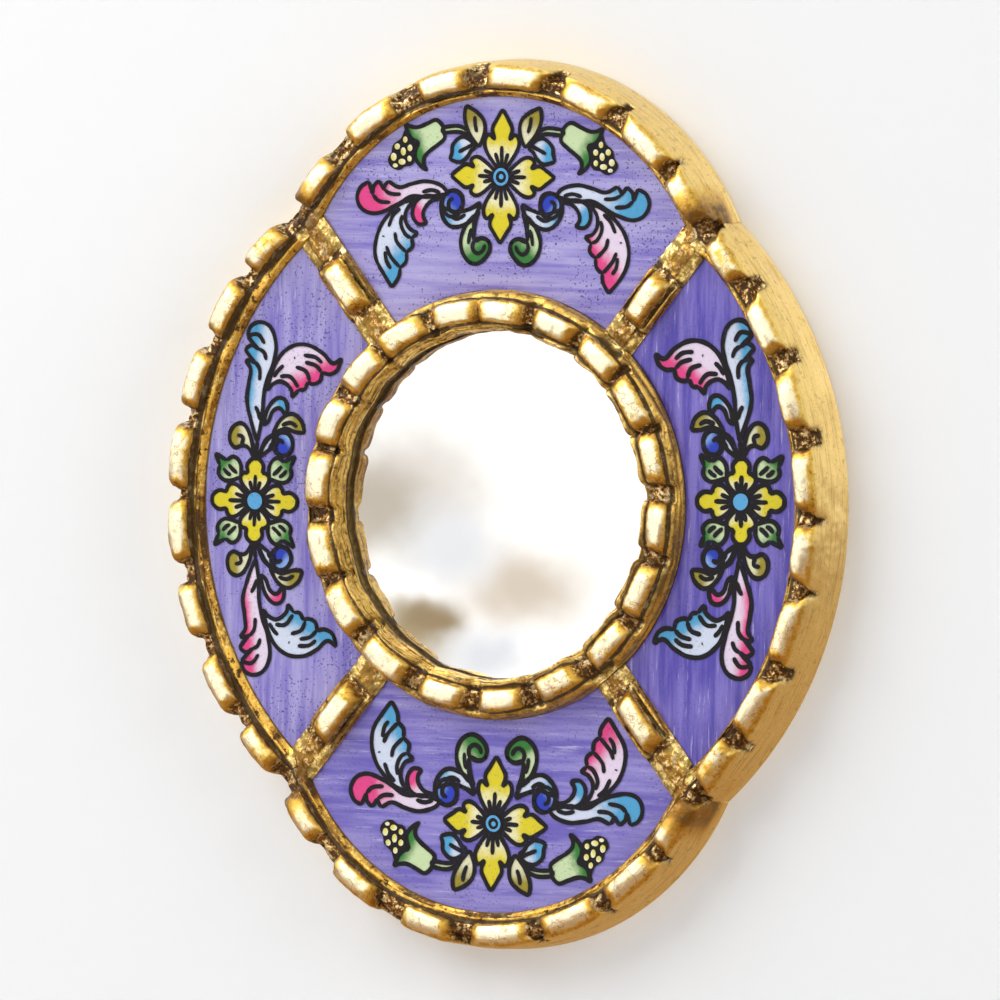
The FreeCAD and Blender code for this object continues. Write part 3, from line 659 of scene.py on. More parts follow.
def makeRing(seed):
    chance = random.Random(seed)
    count = ring["blocks"]
    even = [ring["turn"] + i * 360 / count for i in range(count)]
    drift, crest = ring["drift"], ring["crest"]
    centres = [angle - drift * math.sin(math.radians(angle)) + chance.uniform(-1, 1) for angle in even]
    blocks = cutBlocks(centres, ring["blockLength"], chance)

    def place(radius, height):
        return aroundAxis(0.0, radius, height)

    bm, layers, section = startCarving(ring, place)
    steps = round(2 * math.pi * crest / carving["spacing"])
    bmesh.ops.spin(bm, geom=section, cent=(0, 0, 0), axis=(0, 1, 0), angle=2 * math.pi, steps=steps,
                   use_merge=True)
    for vert in bm.verts:
        radius, height = math.hypot(vert.co.x, vert.co.z) / mm, -vert.co.y / mm
        at = math.atan2(vert.co.x, vert.co.z)
        moved, level = radius - crest, height
        run = crest * carving["grainRun"]
        vert[layers["grain"]] = (math.sin(at) * run, math.cos(at) * run, height + radius)
        beyond = radius > ring["blocksTo"]
        if radius < ring["blocksFrom"] or beyond or height > carving["fixedBelow"]:
            turns = [(math.degrees(at) - block["middle"] + 180) % 360 - 180 for block in blocks]
            found = blockAt(blocks, [math.radians(turned) * crest for turned in turns], moved)
            moved, level, values = carvePoint(moved, height, found, ring, ring["cutFall"])
            inner, outer = 1 - ramp(60.8, 61.2, radius), ramp(69.9, 70.3, radius)
            level -= ring["bandCut"] * (1 - found[0]) * max(inner, 0.45 * outer) * ramp(15.5, 20.0, height)
            joined = 0.0
            if beyond:
                level, joined = fillJoin(vert.co.x / mm, vert.co.z / mm, level)
            foot = max(inner, ramp(71.8, 72.2, radius)) * (1 - ramp(14.6, 15.4, height))
            flank = max(1 - ramp(61.3, 61.8, radius), ramp(69.2, 69.6, radius)) * (1 - max(inner, outer))
            groove = max(0.7 * hump(radius, 61.0, 0.4), hump(radius, 70.1, 0.45), 0.6 * flank)
            band = max(0.75 * inner, 0.7 * outer * (1 - joined))
            swell = noise.noise(Vector((math.sin(at) * 7, math.cos(at) * 7, 3.0))) - 0.4
            moved += inner * ring["wave"] * swell
            moved += ring["leanOut"] * max(0.0, -math.sin(at)) * ramp(18, 22, height) * ramp(64, 69, radius)
            wearAndLight = max(carving["flankWear"] * flank, carving["joinWear"] * joined, 0.12 * inner)
            values["notch"] = max(values["notch"], wearAndLight)
            values.update(band=band, groove=max(groove * (1 - joined), 0.8 * foot),
                          ridge=max(inner, outer, 0.5 * flank), rubble=joined, free=freeAt(height))
            mark(vert, layers, values)
        vert.co = aroundAxis(at, crest + moved, level)
    workOver(bm, layers)
    standFor(bm, "carved_ring", ringGilding, "inner_ring")


def reachTo(origin, heading, centre, radius):  # how far along a line it leaves a circle
    away = origin - centre
    half = away.dot(heading)
    return -half + math.sqrt(half * half - away.dot(away) + radius * radius)


def makeSpoke(name, mirrorX, mirrorZ, seed):
    chance = random.Random(seed)
    tip = cuspAt(rim["lipInset"])
    heading = tip.normalized()
    aside = Vector((heading.y, -heading.x))
    lipTop, lipSide = rim["topOutline"] - rim["lipInset"], rim["sideOutline"] - rim["lipInset"]
    ringEdge = ring["shown"][-1][0] - spoke["overlap"]
    middle = spoke["rightMiddle"] if mirrorX > 0 else spoke["leftMiddle"]
    blocks = cutBlocks([middle], spoke["blockLength"], chance)
    length = (tip.length - ringEdge) * mm

    def place(across, height):
        return Vector((across * mm, -height * mm, 0))

    bm, layers, section = startCarving(spoke, place)
    steps = round(length / mm / carving["spacing"])
    bmesh.ops.spin(bm, geom=section, cent=(0, 0, 0), axis=(0, 1, 0), dvec=(0, 0, length / steps), angle=0.0,
                   steps=steps)
    ends = [edge for edge in bm.edges if edge.is_boundary]
    bmesh.ops.edgeloop_fill(bm, edges=[edge for edge in ends if edge.verts[0].co.z < length / 2])
    bmesh.ops.edgeloop_fill(bm, edges=[edge for edge in ends if edge.verts[0].co.z > length / 2])
    for vert in bm.verts:
        across, height, share = vert.co.x / mm, -vert.co.y / mm, vert.co.z / length
        foot = aside * across
        inside = math.sqrt(ringEdge ** 2 - across ** 2)
        toTop = reachTo(foot, heading, Vector((0, rim["topCentre"])), lipTop)
        toSide = reachTo(foot, heading, Vector((rim["sideCentre"], 0)), lipSide)
        outside = min(toTop, toSide) + spoke["overlap"]
        run = inside + share * (outside - inside)
        moved, level = across, height
        vert[layers["grain"]] = (run * carving["grainRun"], 0.0, across + height)
        if height > carving["fixedBelow"]:
            found = blockAt(blocks, [run - middle], across)
            moved, level, values = carvePoint(across, height, found, spoke, 0.0)
            bare = 1 - found[0]
            level += (min(level, carving["joinLevel"] + 0.3 - 0.045 * across ** 2) - level) * bare
            band = ramp(4.8, 5.1, abs(across)) * found[0]
            groove = hump(abs(across), 4.75, 0.4) * (1 - ramp(17.2, 18.4, height)) * found[0]
            flank = ramp(3.9, 4.3, abs(across)) * (1 - ramp(18.4, 20.2, height)) * (1 - band) * found[0]
            hollow = hump(abs(run - middle) - blocks[0]["half"], 0.4, 2.0)
            wear = carving["joinWear"] + (1 - carving["joinWear"]) * hollow
            values["notch"] = max(carving["flankWear"] * flank, wear * max(values["notch"], bare))
            values.update(band=band, groove=groove, ridge=max(0.8 * band, 0.5 * flank), rubble=bare,
                          free=freeAt(height))
            mark(vert, layers, values)
        spot = heading * run + aside * moved
        vert.co = Vector((spot.x * mirrorX, -level, spot.y * mirrorZ)) * mm
    workOver(bm, layers)
    standFor(bm, f"carved_{name}", spokeGilding, name)


for number, side in enumerate(("top", "bottom", "left", "right")):
    makeRim(side, 11 + number)
makeRing(21)
corners = {"top_right": (1, 1), "top_left": (-1, 1), "bottom_left": (-1, -1), "bottom_right": (1, -1)}
for number, (corner, (mirrorX, mirrorZ)) in enumerate(corners.items()):
    makeSpoke(f"spoke_{corner}", mirrorX, mirrorZ, 31 + number)
print("mouldings carved")


# painted glass

paneFinish = {
    "deep": linear(80, 66, 172),
    "mid": linear(132, 118, 204),
    "pale": linear(184, 176, 226),
    "chalk": linear(216, 214, 238),
    "fleck": linear(62, 54, 112),
    "depth": {"top": 0.10, "left": 0.28, "bottom": 0.58, "right": 1.0},   # how strong the violet is; paler on the top and left panes as a painted reflection of the bright window to the left
    "specks": {"top": 0.8, "left": 0.75, "bottom": 0.45, "right": 0.3},
    "brushLevel": (26, 100, 360), "brushUpright": (360, 100, 30),   # brush marks to the metre in x, y and z
    "scratchScale": 2.3, "fleckSize": 1150.0, "gatherSize": 60.0, "patchSize": 24.0,
    "streakShare": 0.75, "patchShare": 0.35, "scratchShare": 0.45,
    "gloss": 0.7, "glossRough": 0.03,
}


def makeBrushMarks():
    results = dict.fromkeys(("Streak", "Scratch", "Fleck", "Patch"), "NodeSocketFloat")
    group, given, out = newGroup("brushMarks", {"Place": "NodeSocketVector"}, results)
    place = objectPlace(group)
    thin = cloud(group, stretched(group, given["Place"], (paneFinish["scratchScale"],) * 3), 1.0, 3, 0.6)
    dots = cloud(group, place, paneFinish["fleckSize"], 1, 0.4)
    level = between(group, cloud(group, place, paneFinish["gatherSize"], 2), 0.3, 0.7, 0.70, 0.59)
    feed(group, out, Streak=cloud(group, given["Place"], 1.0, 6, 0.6),
         Scratch=between(group, thin, 0.60, 0.72),
         Fleck=between(group, maths(group, "SUBTRACT", dots, level), 0.0, 0.05),
         Patch=cloud(group, place, paneFinish["patchSize"], 3))
    return group


brushMarks = makeBrushMarks()


def blendOf(first, second, share):
    return tuple(a + (b - a) * share for a, b in zip(first, second))


def makePane(side):
    material, tree, shader = newMaterial(
        f"violetGlass_{side}", Roughness=0.4, Coat_Weight=paneFinish["gloss"],
        Coat_Roughness=paneFinish["glossRough"], Specular_IOR_Level=0.0)
    scale = paneFinish["brushLevel" if side in ("top", "bottom") else "brushUpright"]
    marks = useGroup(tree, brushMarks, {"Place": stretched(tree, objectPlace(tree), scale)})
    # the top and left panes are paler: a painted reflection
    depth = paneFinish["depth"][side]
    body = blendOf(paneFinish["mid"], paneFinish["deep"], depth)
    light = blendOf(paneFinish["pale"], paneFinish["mid"], depth)
    wash = times(tree, marks["Patch"], paneFinish["patchShare"])
    wash = timesPlus(tree, marks["Streak"], paneFinish["streakShare"], wash)
    colour = mixColour(tree, between(tree, wash, 0.40, 0.70), body, light)
    scratched = times(tree, marks["Scratch"], paneFinish["scratchShare"])
    colour = mixColour(tree, scratched, colour, paneFinish["chalk"])
    flecked = times(tree, marks["Fleck"], paneFinish["specks"][side])
    feed(tree, shader, Base_Color=mixColour(tree, flecked, colour, paneFinish["fleck"]))
    dress(f"pane_{side}", material)


for side in ("top", "bottom", "left", "right"):
    makePane(side)
print("panes washed violet")


# ornament: traditional flowers and scrolls, outlined in black and filled with fading colours

paints = {   # pale end, full end
    "yellow": (linear(246, 242, 206), linear(226, 208, 22)),
    "sky": (linear(214, 222, 242), linear(78, 164, 212)),
    "rose": (linear(234, 216, 238), linear(232, 64, 138)),
    "green": (linear(206, 226, 176), linear(44, 124, 40)),
    "olive": (linear(230, 226, 188), linear(160, 144, 32)),
    "deep": (linear(146, 184, 240), linear(28, 56, 186)),
    "cream": (linear(250, 246, 226), linear(236, 220, 140)),
    "hub": (linear(88, 168, 220), linear(88, 168, 220)),
    "line": (linear(26, 22, 24), linear(16, 13, 15)),
}
paintOrder = list(paints)

brush = {
    "flat": 0.05,             # lines are pressed nearly flat
    "fillLift": 0.05,         # mm in front of the glass
    "fillStep": 0.003,        # each fill lies this much in front of the last
    "lineLift": 0.30,
    "tremble": 0.16, "seed": 17,   # the seed is that of noise_vector, which is drawn anew without one
    "spacing": 0.45, "fillSpacing": 0.8,
    "endTaper": 0.9,
    "strokes": (260, 100, 260),   # brush marks to the metre in x, y and z
    "fleckShare": 0.25, "gloss": 0.6, "lineGloss": 0.3,
    "fade": (0.25, 0.80),     # where a fill begins and ends to fade, along its fade line
}
noise.seed_set(brush["seed"])


def makePaint(name):
    pale, full = paints[name]
    gloss = brush["lineGloss" if name == "line" else "gloss"]
    material, tree, shader = newMaterial(
        f"paint_{name}", Roughness=0.4, Coat_Weight=gloss, Coat_Roughness=paneFinish["glossRough"],
        Specular_IOR_Level=0.0)
    along = addNode(tree, "ShaderNodeUVMap", uv_map="fade").outputs[0]
    fade = addNode(tree, "ShaderNodeSeparateXYZ", {0: along}).outputs[0]
    marks = useGroup(tree, brushMarks, {"Place": stretched(tree, objectPlace(tree), brush["strokes"])})
    waver = times(tree, fromHalf(tree, marks["Streak"]), 0.5)
    laid = between(tree, maths(tree, "ADD", fade, waver), *brush["fade"])
    flecked = times(tree, marks["Fleck"], brush["fleckShare"])
    feed(tree, shader,
         Base_Color=mixColour(tree, flecked, mixColour(tree, laid, pale, full), paneFinish["fleck"]))
    return material


paintMaterials = [makePaint(name) for name in paintOrder]

# a motif has fills, lines and what lies over them, in mm from the flower's middle; a fill has its paint,
# its outline and the line that it fades along, and a third value marks a sharp point

pointedPetal = bothSides([(2.6, -1.6, 1), (8.2, -5.6), (11.6, -6.6), (14, -5.2), (12.4, -2.8, 1),
                          (16, -3.9), (19.2, -2.3), (22.8, 0, 1)], (1, -1))
roundPetal = bothSides([(2.4, -1.3, 1), (6.6, -4.9), (9.4, -5.6), (11, -4.2), (11, -2.7, 1),
                        (14.2, -3.2), (16.6, -1.6), (17, 0)], (1, -1))


def turned(points, angle, stretch=1):  # along the axis, then across it, to the motif's own x and z
    cosine, sine = math.cos(math.radians(angle)), math.sin(math.radians(angle))
    return [(x * stretch * cosine - z * sine, x * stretch * sine + z * cosine, *rest)
            for x, z, *rest in points]


def flipped(points):
    return [(-x, z, *rest) for x, z, *rest in points]


def ringOf(middle, wide, high, count=10):
    steps = [2 * math.pi * i / count for i in range(count)]
    return [(middle[0] + wide * math.cos(a), middle[1] + high * math.sin(a)) for a in steps]


def flower(petal, lengths, hub, centreBlue):
    fills, lines = [], []
    longest = petal[7][0]
    for angle, length in lengths.items():
        stretch = length / longest
        fadeLine = turned([(2, 0), (longest * 0.72, 0)], angle, stretch)
        fills.append(("yellow", turned(petal, angle, stretch), fadeLine))
        for spread, reach in ((0, 11), (17, 8.8), (-17, 8.6)):
            lines.append(turned([(3.4, 0), (reach * 0.75, 0), (reach, 0)], angle + spread, stretch * 0.95))
    hubs = [("line", ringOf((0, 0), hub + 0.7, hub + 0.7), None), ("hub", ringOf((0, 0), hub, hub), None)]
    if not centreBlue:
        hubs.append(("line", ringOf((0, 0), hub * 0.70, hub * 0.70), None))
        hubs.append(("hub", ringOf((0.1, 0.1), hub * 0.32, hub * 0.32, 8), None))
    return {"fills": fills, "lines": lines, "over": hubs}


mainLeaf = [(21.2, -6.2, 1), (24.2, -3.5), (30, -2.1), (36, -3.2), (41, -4.3), (45.4, -2.5, 1),
            (46.7, -4.2), (46.9, -5.5, 1), (49.1, -2.4, 1), (51.3, -4.4), (51.6, -7, 1), (53.4, -2.7, 1),
            (56.6, -4.6), (57.9, -8.2), (56, -12), (51.5, -13.4), (46, -12.2), (41, -10), (36, -7.6),
            (29, -7.6)]
mainLobe = [(23.4, -8, 1), (28, -9), (30.6, -11.5), (31, -14), (29.4, -16.2, 1), (33, -16.4),
            (35.2, -13.6), (34.6, -10), (32.4, -8), (29, -7.2)]
hangingLeaf = [(34.5, -8.4, 1), (40, -10), (44.8, -13.6), (48.4, -18), (50.2, -23.5), (49.6, -29),
               (46.4, -34.2), (42.9, -38.4, 1), (40.4, -34.6), (40, -31.6, 1), (37.8, -29.6),
               (37.5, -26.4, 1), (35.2, -24.2), (35.6, -21.4, 1), (33, -19.5, 1), (36.2, -18.4),
               (38, -15.6), (37.6, -12)]


def tallSpray(main, other):  # the half motif beside the flower of the top and bottom panes
    return {"fills": [
        ("olive", [(9, 9.8, 1), (7, 14.5), (7.4, 18.6), (10.5, 21.6), (14.8, 23.7, 1), (15.3, 19.5),
                   (13.6, 15), (11.2, 11.8)], ((9.5, 11), (14, 22))),
        ("sky", [(10.3, 9.6, 1), (13, 12.2), (16.5, 12.9), (19.6, 10.5), (20, 7.5), (20.9, 5.4, 1),
                 (16.5, 4.6), (13.8, 6.5), (12.3, 8.6)], ((12.5, 9.5), (19, 8))),
        ("green", [(13.4, 15.2, 1), (18, 16.6), (24, 16.2, 1), (24, 14.2, 1), (18, 14.6),
                   (13.4, 13.8, 1)], None),
        ("green", [(23.3, 14.5), (24.2, 17), (26.6, 18.6), (30, 17.4), (34, 15.9), (37, 16),
                   (39.4, 17.1, 1), (37.8, 13.4), (35.8, 11.7), (33.3, 11, 1), (34.6, 8.5), (34.7, 5.9),
                   (32.6, 3.2), (29.6, 1.5, 1), (31.1, 3.5), (31, 6), (29, 8), (25.5, 10.3), (23, 12.4)],
         ((27.5, 13), (36, 8.5))),
        ("deep", ringOf((19.4, -9.4), 4.2, 4.3), ((24, -14), (17, -8))),
        ("sky", [(8.2, -9.5, 1), (10.3, -13.6), (14, -16.3), (19, -17.2), (22.8, -14.6), (24, -10.6, 1),
                 (21.2, -11.4), (17.5, -12.3), (14, -11.6), (11.2, -10.7)], ((12, -12), (27, -13))),
        ("green", [(10.2, -13, 1), (13.6, -16.5), (15.7, -21), (15.2, -25.5), (12.6, -28.7), (9.4, -29.4),
                   (6.4, -27.8), (4.2, -24.8), (4.6, -22), (7.2, -20.8), (10.3, -21.4), (10.6, -17)],
         ((13, -18), (7, -26))),
        (main, mainLeaf, ((30, -5), (55, -8))),
        (main, mainLobe, ((28, -8), (33.5, -14))),
        (other, hangingLeaf, ((47, -20), (36, -29)))],
        "lines": [
        [(11.3, 20.2), (10.9, 17.5), (10, 14.8)],
        [(11.5, 10.6), (14.5, 9.3), (17.3, 8)],
        [(8, -9.2), (10.2, -13.6), (14, -16.4), (19, -17.3), (22.8, -14.8), (24.2, -10.8), (22.8, -6.8),
         (19.3, -5), (16, -6.3), (15.4, -9.6), (17.4, -12.2), (20.3, -11.6), (21, -9), (19.2, -7.6)],
        [(8.2, -8.8), (11.8, -10.8), (15.6, -12.2)],
        [(14, -13), (17, -14.4), (19.8, -13.8)],
        [(8.6, -11.8), (9.9, -15.8), (10.6, -19.2), (10.8, -21.5)],
        [(11.3, -14.6), (14.4, -17.4), (15.8, -21.3), (15.1, -25.4), (12.5, -28.7), (9.4, -29.5),
         (6.4, -28), (4.1, -25), (4.6, -22), (7.2, -20.7), (10.2, -21.6), (10.9, -24.2), (9, -25.9),
         (6.9, -24.9), (6.1, -23)],
        [(11.6, -17.6), (12.4, -20), (12.7, -23)],
        [(46.9, -5.4), (44.5, -6.5), (40.3, -6.7)],
        [(51.6, -7), (49, -9), (44.5, -9.5)],
        [(24.5, -6), (28, -5.2), (31.5, -6)],
        [(39.3, -13.8), (39.8, -17), (38, -20.4), (35.8, -21.4)],
        [(42.2, -19.8), (41.4, -23), (37.8, -26.3)],
        [(45.6, -24.4), (44, -27.6), (40.2, -31.4)],
        [(46.1, -26.2), (45.4, -29.6), (43.8, -31.8)],
        [(40.2, -11.6), (43, -14), (44.9, -17.8)],
        [(47, -20.8), (47.1, -21.3)]],
        "over": [("line", [(38.6, 15.2), (40.6, 12), (43.4, 9.8), (44, 7.2), (45.4, 4.8), (44.2, 2.4),
                           (41, 1.4), (38.6, 2.6), (36.2, 3), (34.8, 5), (35.2, 8.5), (34.2, 10.8),
                           (36.4, 11.9)], None)]
        + [("yellow" if high > 0.95 else "cream", ringOf((x, z), wide, high, 8),
            ((x - 2, z + 2), (x + 2, z - 2)))
           for x, z, wide, high in ((38.9, 11.6, 0.9, 1.1), (36.8, 9, 1, 1.15), (39.4, 7.6, 1, 1.4),
                                    (41.8, 9.2, 1, 1.1), (43.1, 5.7, 1.1, 1.3), (39.9, 4.1, 1.4, 1),
                                    (36.9, 5.3, 0.9, 1.1), (42.5, 2.9, 1, 0.7))]}


stemLeaf = [(0.6, 20, 1), (-2, 27), (-3.9, 34), (-3.2, 40), (-2.6, 44.5), (-4.7, 47.6, 1), (-2.3, 47.5),
            (-0.9, 46.6, 1), (-5, 51.4, 1), (-2, 52.9), (0.6, 51.4, 1), (-4.2, 55.7, 1), (-3, 58.8),
            (0.8, 60.6), (5.2, 58.6), (7.2, 53), (6.2, 47), (4, 41), (2.6, 35), (2.2, 28)]
sideLeaf = [(4.2, 37.5, 1), (6.5, 45.5), (10, 50.6), (15, 53.4), (20.5, 53.2), (25.5, 50.6), (29.5, 47.6),
            (33, 49.4, 1), (31.4, 45.4), (28.6, 43.8), (25.4, 44.2, 1), (24.6, 41.4), (21.8, 40.2),
            (19.8, 40.8, 1), (18.6, 38.4), (16.2, 38.2, 1), (13.8, 35.4, 1), (13.2, 38.4), (9.5, 40.8),
            (6.4, 39.8)]


def lowSpray(stem, side):  # the quarter motif above or below the flower of the side panes
    leaf = [(5.5, 7.7, 1), (5.7, 12.2), (8.3, 14.8), (11.2, 13.4, 1), (15.8, 15.8, 1), (14, 11.8, 1),
            (14.2, 8.7), (11.3, 6.6)]
    veins = [[(7, 9), (9, 10.6), (10.4, 12)], [(9.4, 8.4), (11, 9.2), (12.4, 10.6)]]
    return {"fills": [
        ("green", leaf, ((7, 8.5), (14, 14))),
        ("green", flipped(leaf), ((-7, 8.5), (-14, 14))),
        ("olive", [(-0.6, 14.4, 1), (-1.8, 21), (-4, 25.2), (-6.6, 26.2), (-9.4, 24.4), (-10.2, 20.6),
                   (-8.2, 18), (-5.6, 18.6), (-3.2, 18.2)], ((-3, 21), (-8.5, 21))),
        ("deep", ringOf((10.6, 19.6), 3.9, 4), ((14, 24), (9, 18))),
        ("sky", [(1.3, 14.6, 1), (3.6, 20.3), (7.6, 23.4, 1), (8.2, 20.6), (5.4, 17.5)],
         ((3, 17), (12, 24))),
        ("olive", [(6.5, 23, 1), (9.6, 27.8), (14, 29.8), (17.6, 27.6), (19.2, 23.6, 1), (15.4, 23.8),
                   (11.4, 24.8)], ((9, 25), (17.5, 26))),
        (stem, stemLeaf, ((3.6, 44), (-3.6, 45))),
        (stem, [(2.8, 25.5, 1), (4.6, 31.6), (8, 35.2), (11, 34.8), (12.2, 31.8), (11.6, 29, 1),
                (9.2, 31.8), (6.6, 30.8), (4.8, 27)], ((4.5, 29), (11, 33))),
        (side, sideLeaf, ((14, 49), (20, 39)))],
        "lines": veins + [flipped(vein) for vein in veins] + [
        [(-5.6, 18.7), (-5, 21.4), (-7.2, 22.2)],
        [(1.3, 14.6), (3.8, 19.6), (7.6, 23.2), (11.6, 23.8), (14.5, 20.8), (13.5, 16.6), (10, 15.5),
         (7.6, 18), (9, 20.8), (11, 20)],
        [(5.2, 17.6), (6.6, 20)],
        [(10, 26), (13.5, 26.7), (16, 25.5)], [(0.3, 14.2), (0.3, 17.2), (0.6, 20.2)],
        [(-0.9, 47.2), (0.9, 44.6), (1.1, 40.8)],
        [(0.4, 51.8), (2.4, 50.4), (3.4, 47.8)],
        [(-4.2, 55.8), (0.2, 56.4), (2.8, 53.4)],
        [(-0.6, 32), (0.6, 30), (1.4, 27.4)],
        [(10.2, 46.4), (8.2, 44.6), (6.6, 42.2)],
        [(15.2, 45.8), (19, 44.4), (20.6, 41.2)],
        [(18.8, 47.6), (22.8, 46.4), (25.2, 44.2)],
        [(9, 42.6), (13, 42.4), (16, 39)],
        [(18.2, 50), (22.4, 49.4), (25.2, 47.4)],
        [(14.4, 48.8), (14.8, 48.9)]],
        "over": []}


def openCanvas(side, middle, turn, width):  # one pane's fills and lines, kept in mm until they are finished
    bm = bmesh.new()
    curve = bpy.data.curves.new(f"lines_{side}", "CURVE")
    curve.dimensions = "3D"
    curve.bevel_depth = width / 2
    curve.bevel_resolution = 1
    curve.use_fill_caps = True
    return {"side": side, "middle": Vector((*middle, 0)),
            "turn": Matrix.Rotation(math.radians(turn), 3, "Z"), "bm": bm,
            "fade": bm.loops.layers.uv.new("fade"), "curve": curve,
            "front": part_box(f"pane_{side}")[0].y / mm, "lift": brush["fillLift"]}


def placeOn(canvas, point, flip):
    spot = canvas["turn"] @ Vector((point[0] * flip[0], point[1] * flip[1], 0)) + canvas["middle"]
    shake = noise.noise_vector(Vector((spot.x * 0.13, 0.0, spot.y * 0.13))) * brush["tremble"] * 2
    return spot + Vector((shake.x, shake.z, 0))


def fillShape(canvas, paint, outline, fadeLine, flip):
    bm = canvas["bm"]
    runs, closed = runsOf(outline)
    line = []
    for run in runs:
        part = flowLine(run, brush["fillSpacing"], closed)
        line += part if closed else part[:-1]
    canvas["lift"] += brush["fillStep"]
    level = canvas["front"] - canvas["lift"]
    spots = [placeOn(canvas, p, flip) for p in line]
    verts = [bm.verts.new((p.x, level, p.y)) for p in spots]
    edges = [bm.edges.new((a, b)) for a, b in zip(verts, verts[1:] + verts[:1])]
    whole = bmesh.ops.contextual_create(bm, geom=edges)["faces"]
    made = bmesh.ops.triangulate(bm, faces=whole, ngon_method="EAR_CLIP")["faces"]
    ends = [Vector((0, 0, 0)), Vector((1e5, 0, 0))]   # without a fade line it is pale all over
    if fadeLine:
        ends = [placeOn(canvas, p, flip) for p in fadeLine]
    axis = ends[1] - ends[0]
    for face in made:
        if face.normal.y > 0:
            face.normal_flip()
        face.material_index = paintOrder.index(paint)
        for loop in face.loops:
            spot = Vector((loop.vert.co.x, loop.vert.co.z, 0))
            loop[canvas["fade"]].uv = ((spot - ends[0]).dot(axis) / axis.dot(axis), 0.5)


def drawLine(canvas, points, flip, closed=False):
    path = [Vector((p[0], p[1], 0)) for p in points]
    line = [placeOn(canvas, p, flip) for p in flowLine(path, brush["spacing"], closed)]
    spline = canvas["curve"].splines.new("POLY")
    spline.points.add(len(line) - 1)
    spline.use_cyclic_u = closed
    for point, spot in zip(spline.points, line):
        tip = brush["endTaper"] if closed else min((spot - line[0]).length, (spot - line[-1]).length)
        press = 1 + 0.16 * noise.noise(Vector((spot.x * 0.3, 7.0, spot.y * 0.3)))
        point.co = (spot.x, 0, spot.y, 1)
        point.radius = press * (0.55 + 0.45 * min(1.0, tip / brush["endTaper"]))


def paintMotif(canvas, motif, flip=(1, 1)):
    for paint, outline, fadeLine in motif["fills"]:
        fillShape(canvas, paint, outline, fadeLine, flip)
        runs, closed = runsOf(outline)
        for run in runs:
            drawLine(canvas, run, flip, closed)
    for line in motif["lines"]:
        drawLine(canvas, line, flip)


def paintOver(canvas, motif, flip=(1, 1)):  # what lies on top of the lines
    canvas["lift"] = max(canvas["lift"], brush["lineLift"] + 0.1)
    for paint, outline, fadeLine in motif["over"]:
        fillShape(canvas, paint, outline, fadeLine, flip)


def closeCanvas(canvas):
    holder = addObject(f"holder_{canvas['side']}", canvas["curve"])
    bpy.context.view_layer.update()
    drawn = bpy.data.meshes.new_from_object(holder.evaluated_get(bpy.context.evaluated_depsgraph_get()))
    front = canvas["front"] - brush["lineLift"]
    drawn.transform(Matrix.Translation((0, front, 0)) @ Matrix.Diagonal((1, brush["flat"], 1, 1)))
    bm = canvas["bm"]
    before = len(bm.faces)
    bm.from_mesh(drawn)
    bm.faces.ensure_lookup_table()
    for face in bm.faces[before:]:
        face.material_index = paintOrder.index("line")
    bpy.data.objects.remove(holder)
    bpy.data.meshes.remove(drawn)
    bm.transform(Matrix.Scale(mm, 4))
    pieceFrom(bm, f"ornament_{canvas['side']}", paintMaterials, smooth=False)


tallFlower = flower(pointedPetal, {90: 22.8, 0: 20.8, 270: 22.8, 180: 19.4}, 2.9, False)
lowFlower = flower(roundPetal, {90: 14.4, 0: 16.6, 270: 14.2, 180: 16.8}, 2.8, True)
placings = {   # flower's middle, turn in degrees, line width
    "top": ((-1.0, 110.3), 0.0, 1.6), "bottom": ((1.0, -107.2), -1.5, 1.75),
    "left": ((-94.5, -1.7), 0.0, 1.65), "right": ((93.3, 4.0), 1.2, 1.9)}

for side, (middle, turn, width) in placings.items():
    canvas = openCanvas(side, middle, turn, width)
    if side in ("top", "bottom"):
        down = -1 if side == "bottom" else 1
        motifs = [(tallSpray("sky", "rose"), (0.985, down)), (tallSpray("rose", "sky"), (-0.965, down)),
                  (tallFlower, (1, down))]
    else:
        toRing = 1 if side == "left" else -1
        motifs = [(lowSpray("sky", "rose"), (toRing, 1)), (lowSpray("rose", "sky"), (toRing, -0.975)),
                  (lowFlower, (1, 1))]
    for motif, flip in motifs:
        paintMotif(canvas, motif, flip)
    for motif, flip in motifs:
        paintOver(canvas, motif, flip)
    closeCanvas(canvas)
print("ornament painted")


# mirror, board and hanger keep their solids and get their finishes

mirror = {
    "sheen": 0.05,            # share that the front of the glass reflects by itself
    "edge": linear(26, 34, 24),
    "silver": linear(244, 243, 240), "dullSilver": linear(241, 240, 236),
    "breathSize": 30.0, "breath": (0.45, 0.75),
    "front": (-0.0137, -0.0139),   # metres, where the glass's front face begins
    "silverDepth": 2.0,       # mm behind the front, as deep as it looks through the glass
    "silverRadius": 61.2,
}


def makeMirrorGlass():  # clear in front and behind, green and dark at the edge
    material, tree, shader = newMaterial("mirrorGlass")
    place = objectPlace(tree)
    outward = vectorMaths(tree, "MULTIPLY", place, (1, 0, 1))[0]
    reach = vectorMaths(tree, "LENGTH", outward)["Value"]
    side = between(tree, reach, mirror["silverRadius"] * mm, (mirror["silverRadius"] + 0.1) * mm)
    breath = cloud(tree, place, mirror["breathSize"], 3)
    depth = addNode(tree, "ShaderNodeSeparateXYZ", {0: place}).outputs["Y"]
    front = between(tree, depth, *mirror["front"], 0.0, mirror["sheen"])
    feed(tree, shader, Base_Color=mixColour(tree, side, (1, 1, 1, 1), mirror["edge"]),
         Roughness=between(tree, breath, *mirror["breath"], 0.01, 0.03),
         Metallic=maths(tree, "SUBTRACT", 1.0, side), Alpha=most(tree, front, side))
    return material


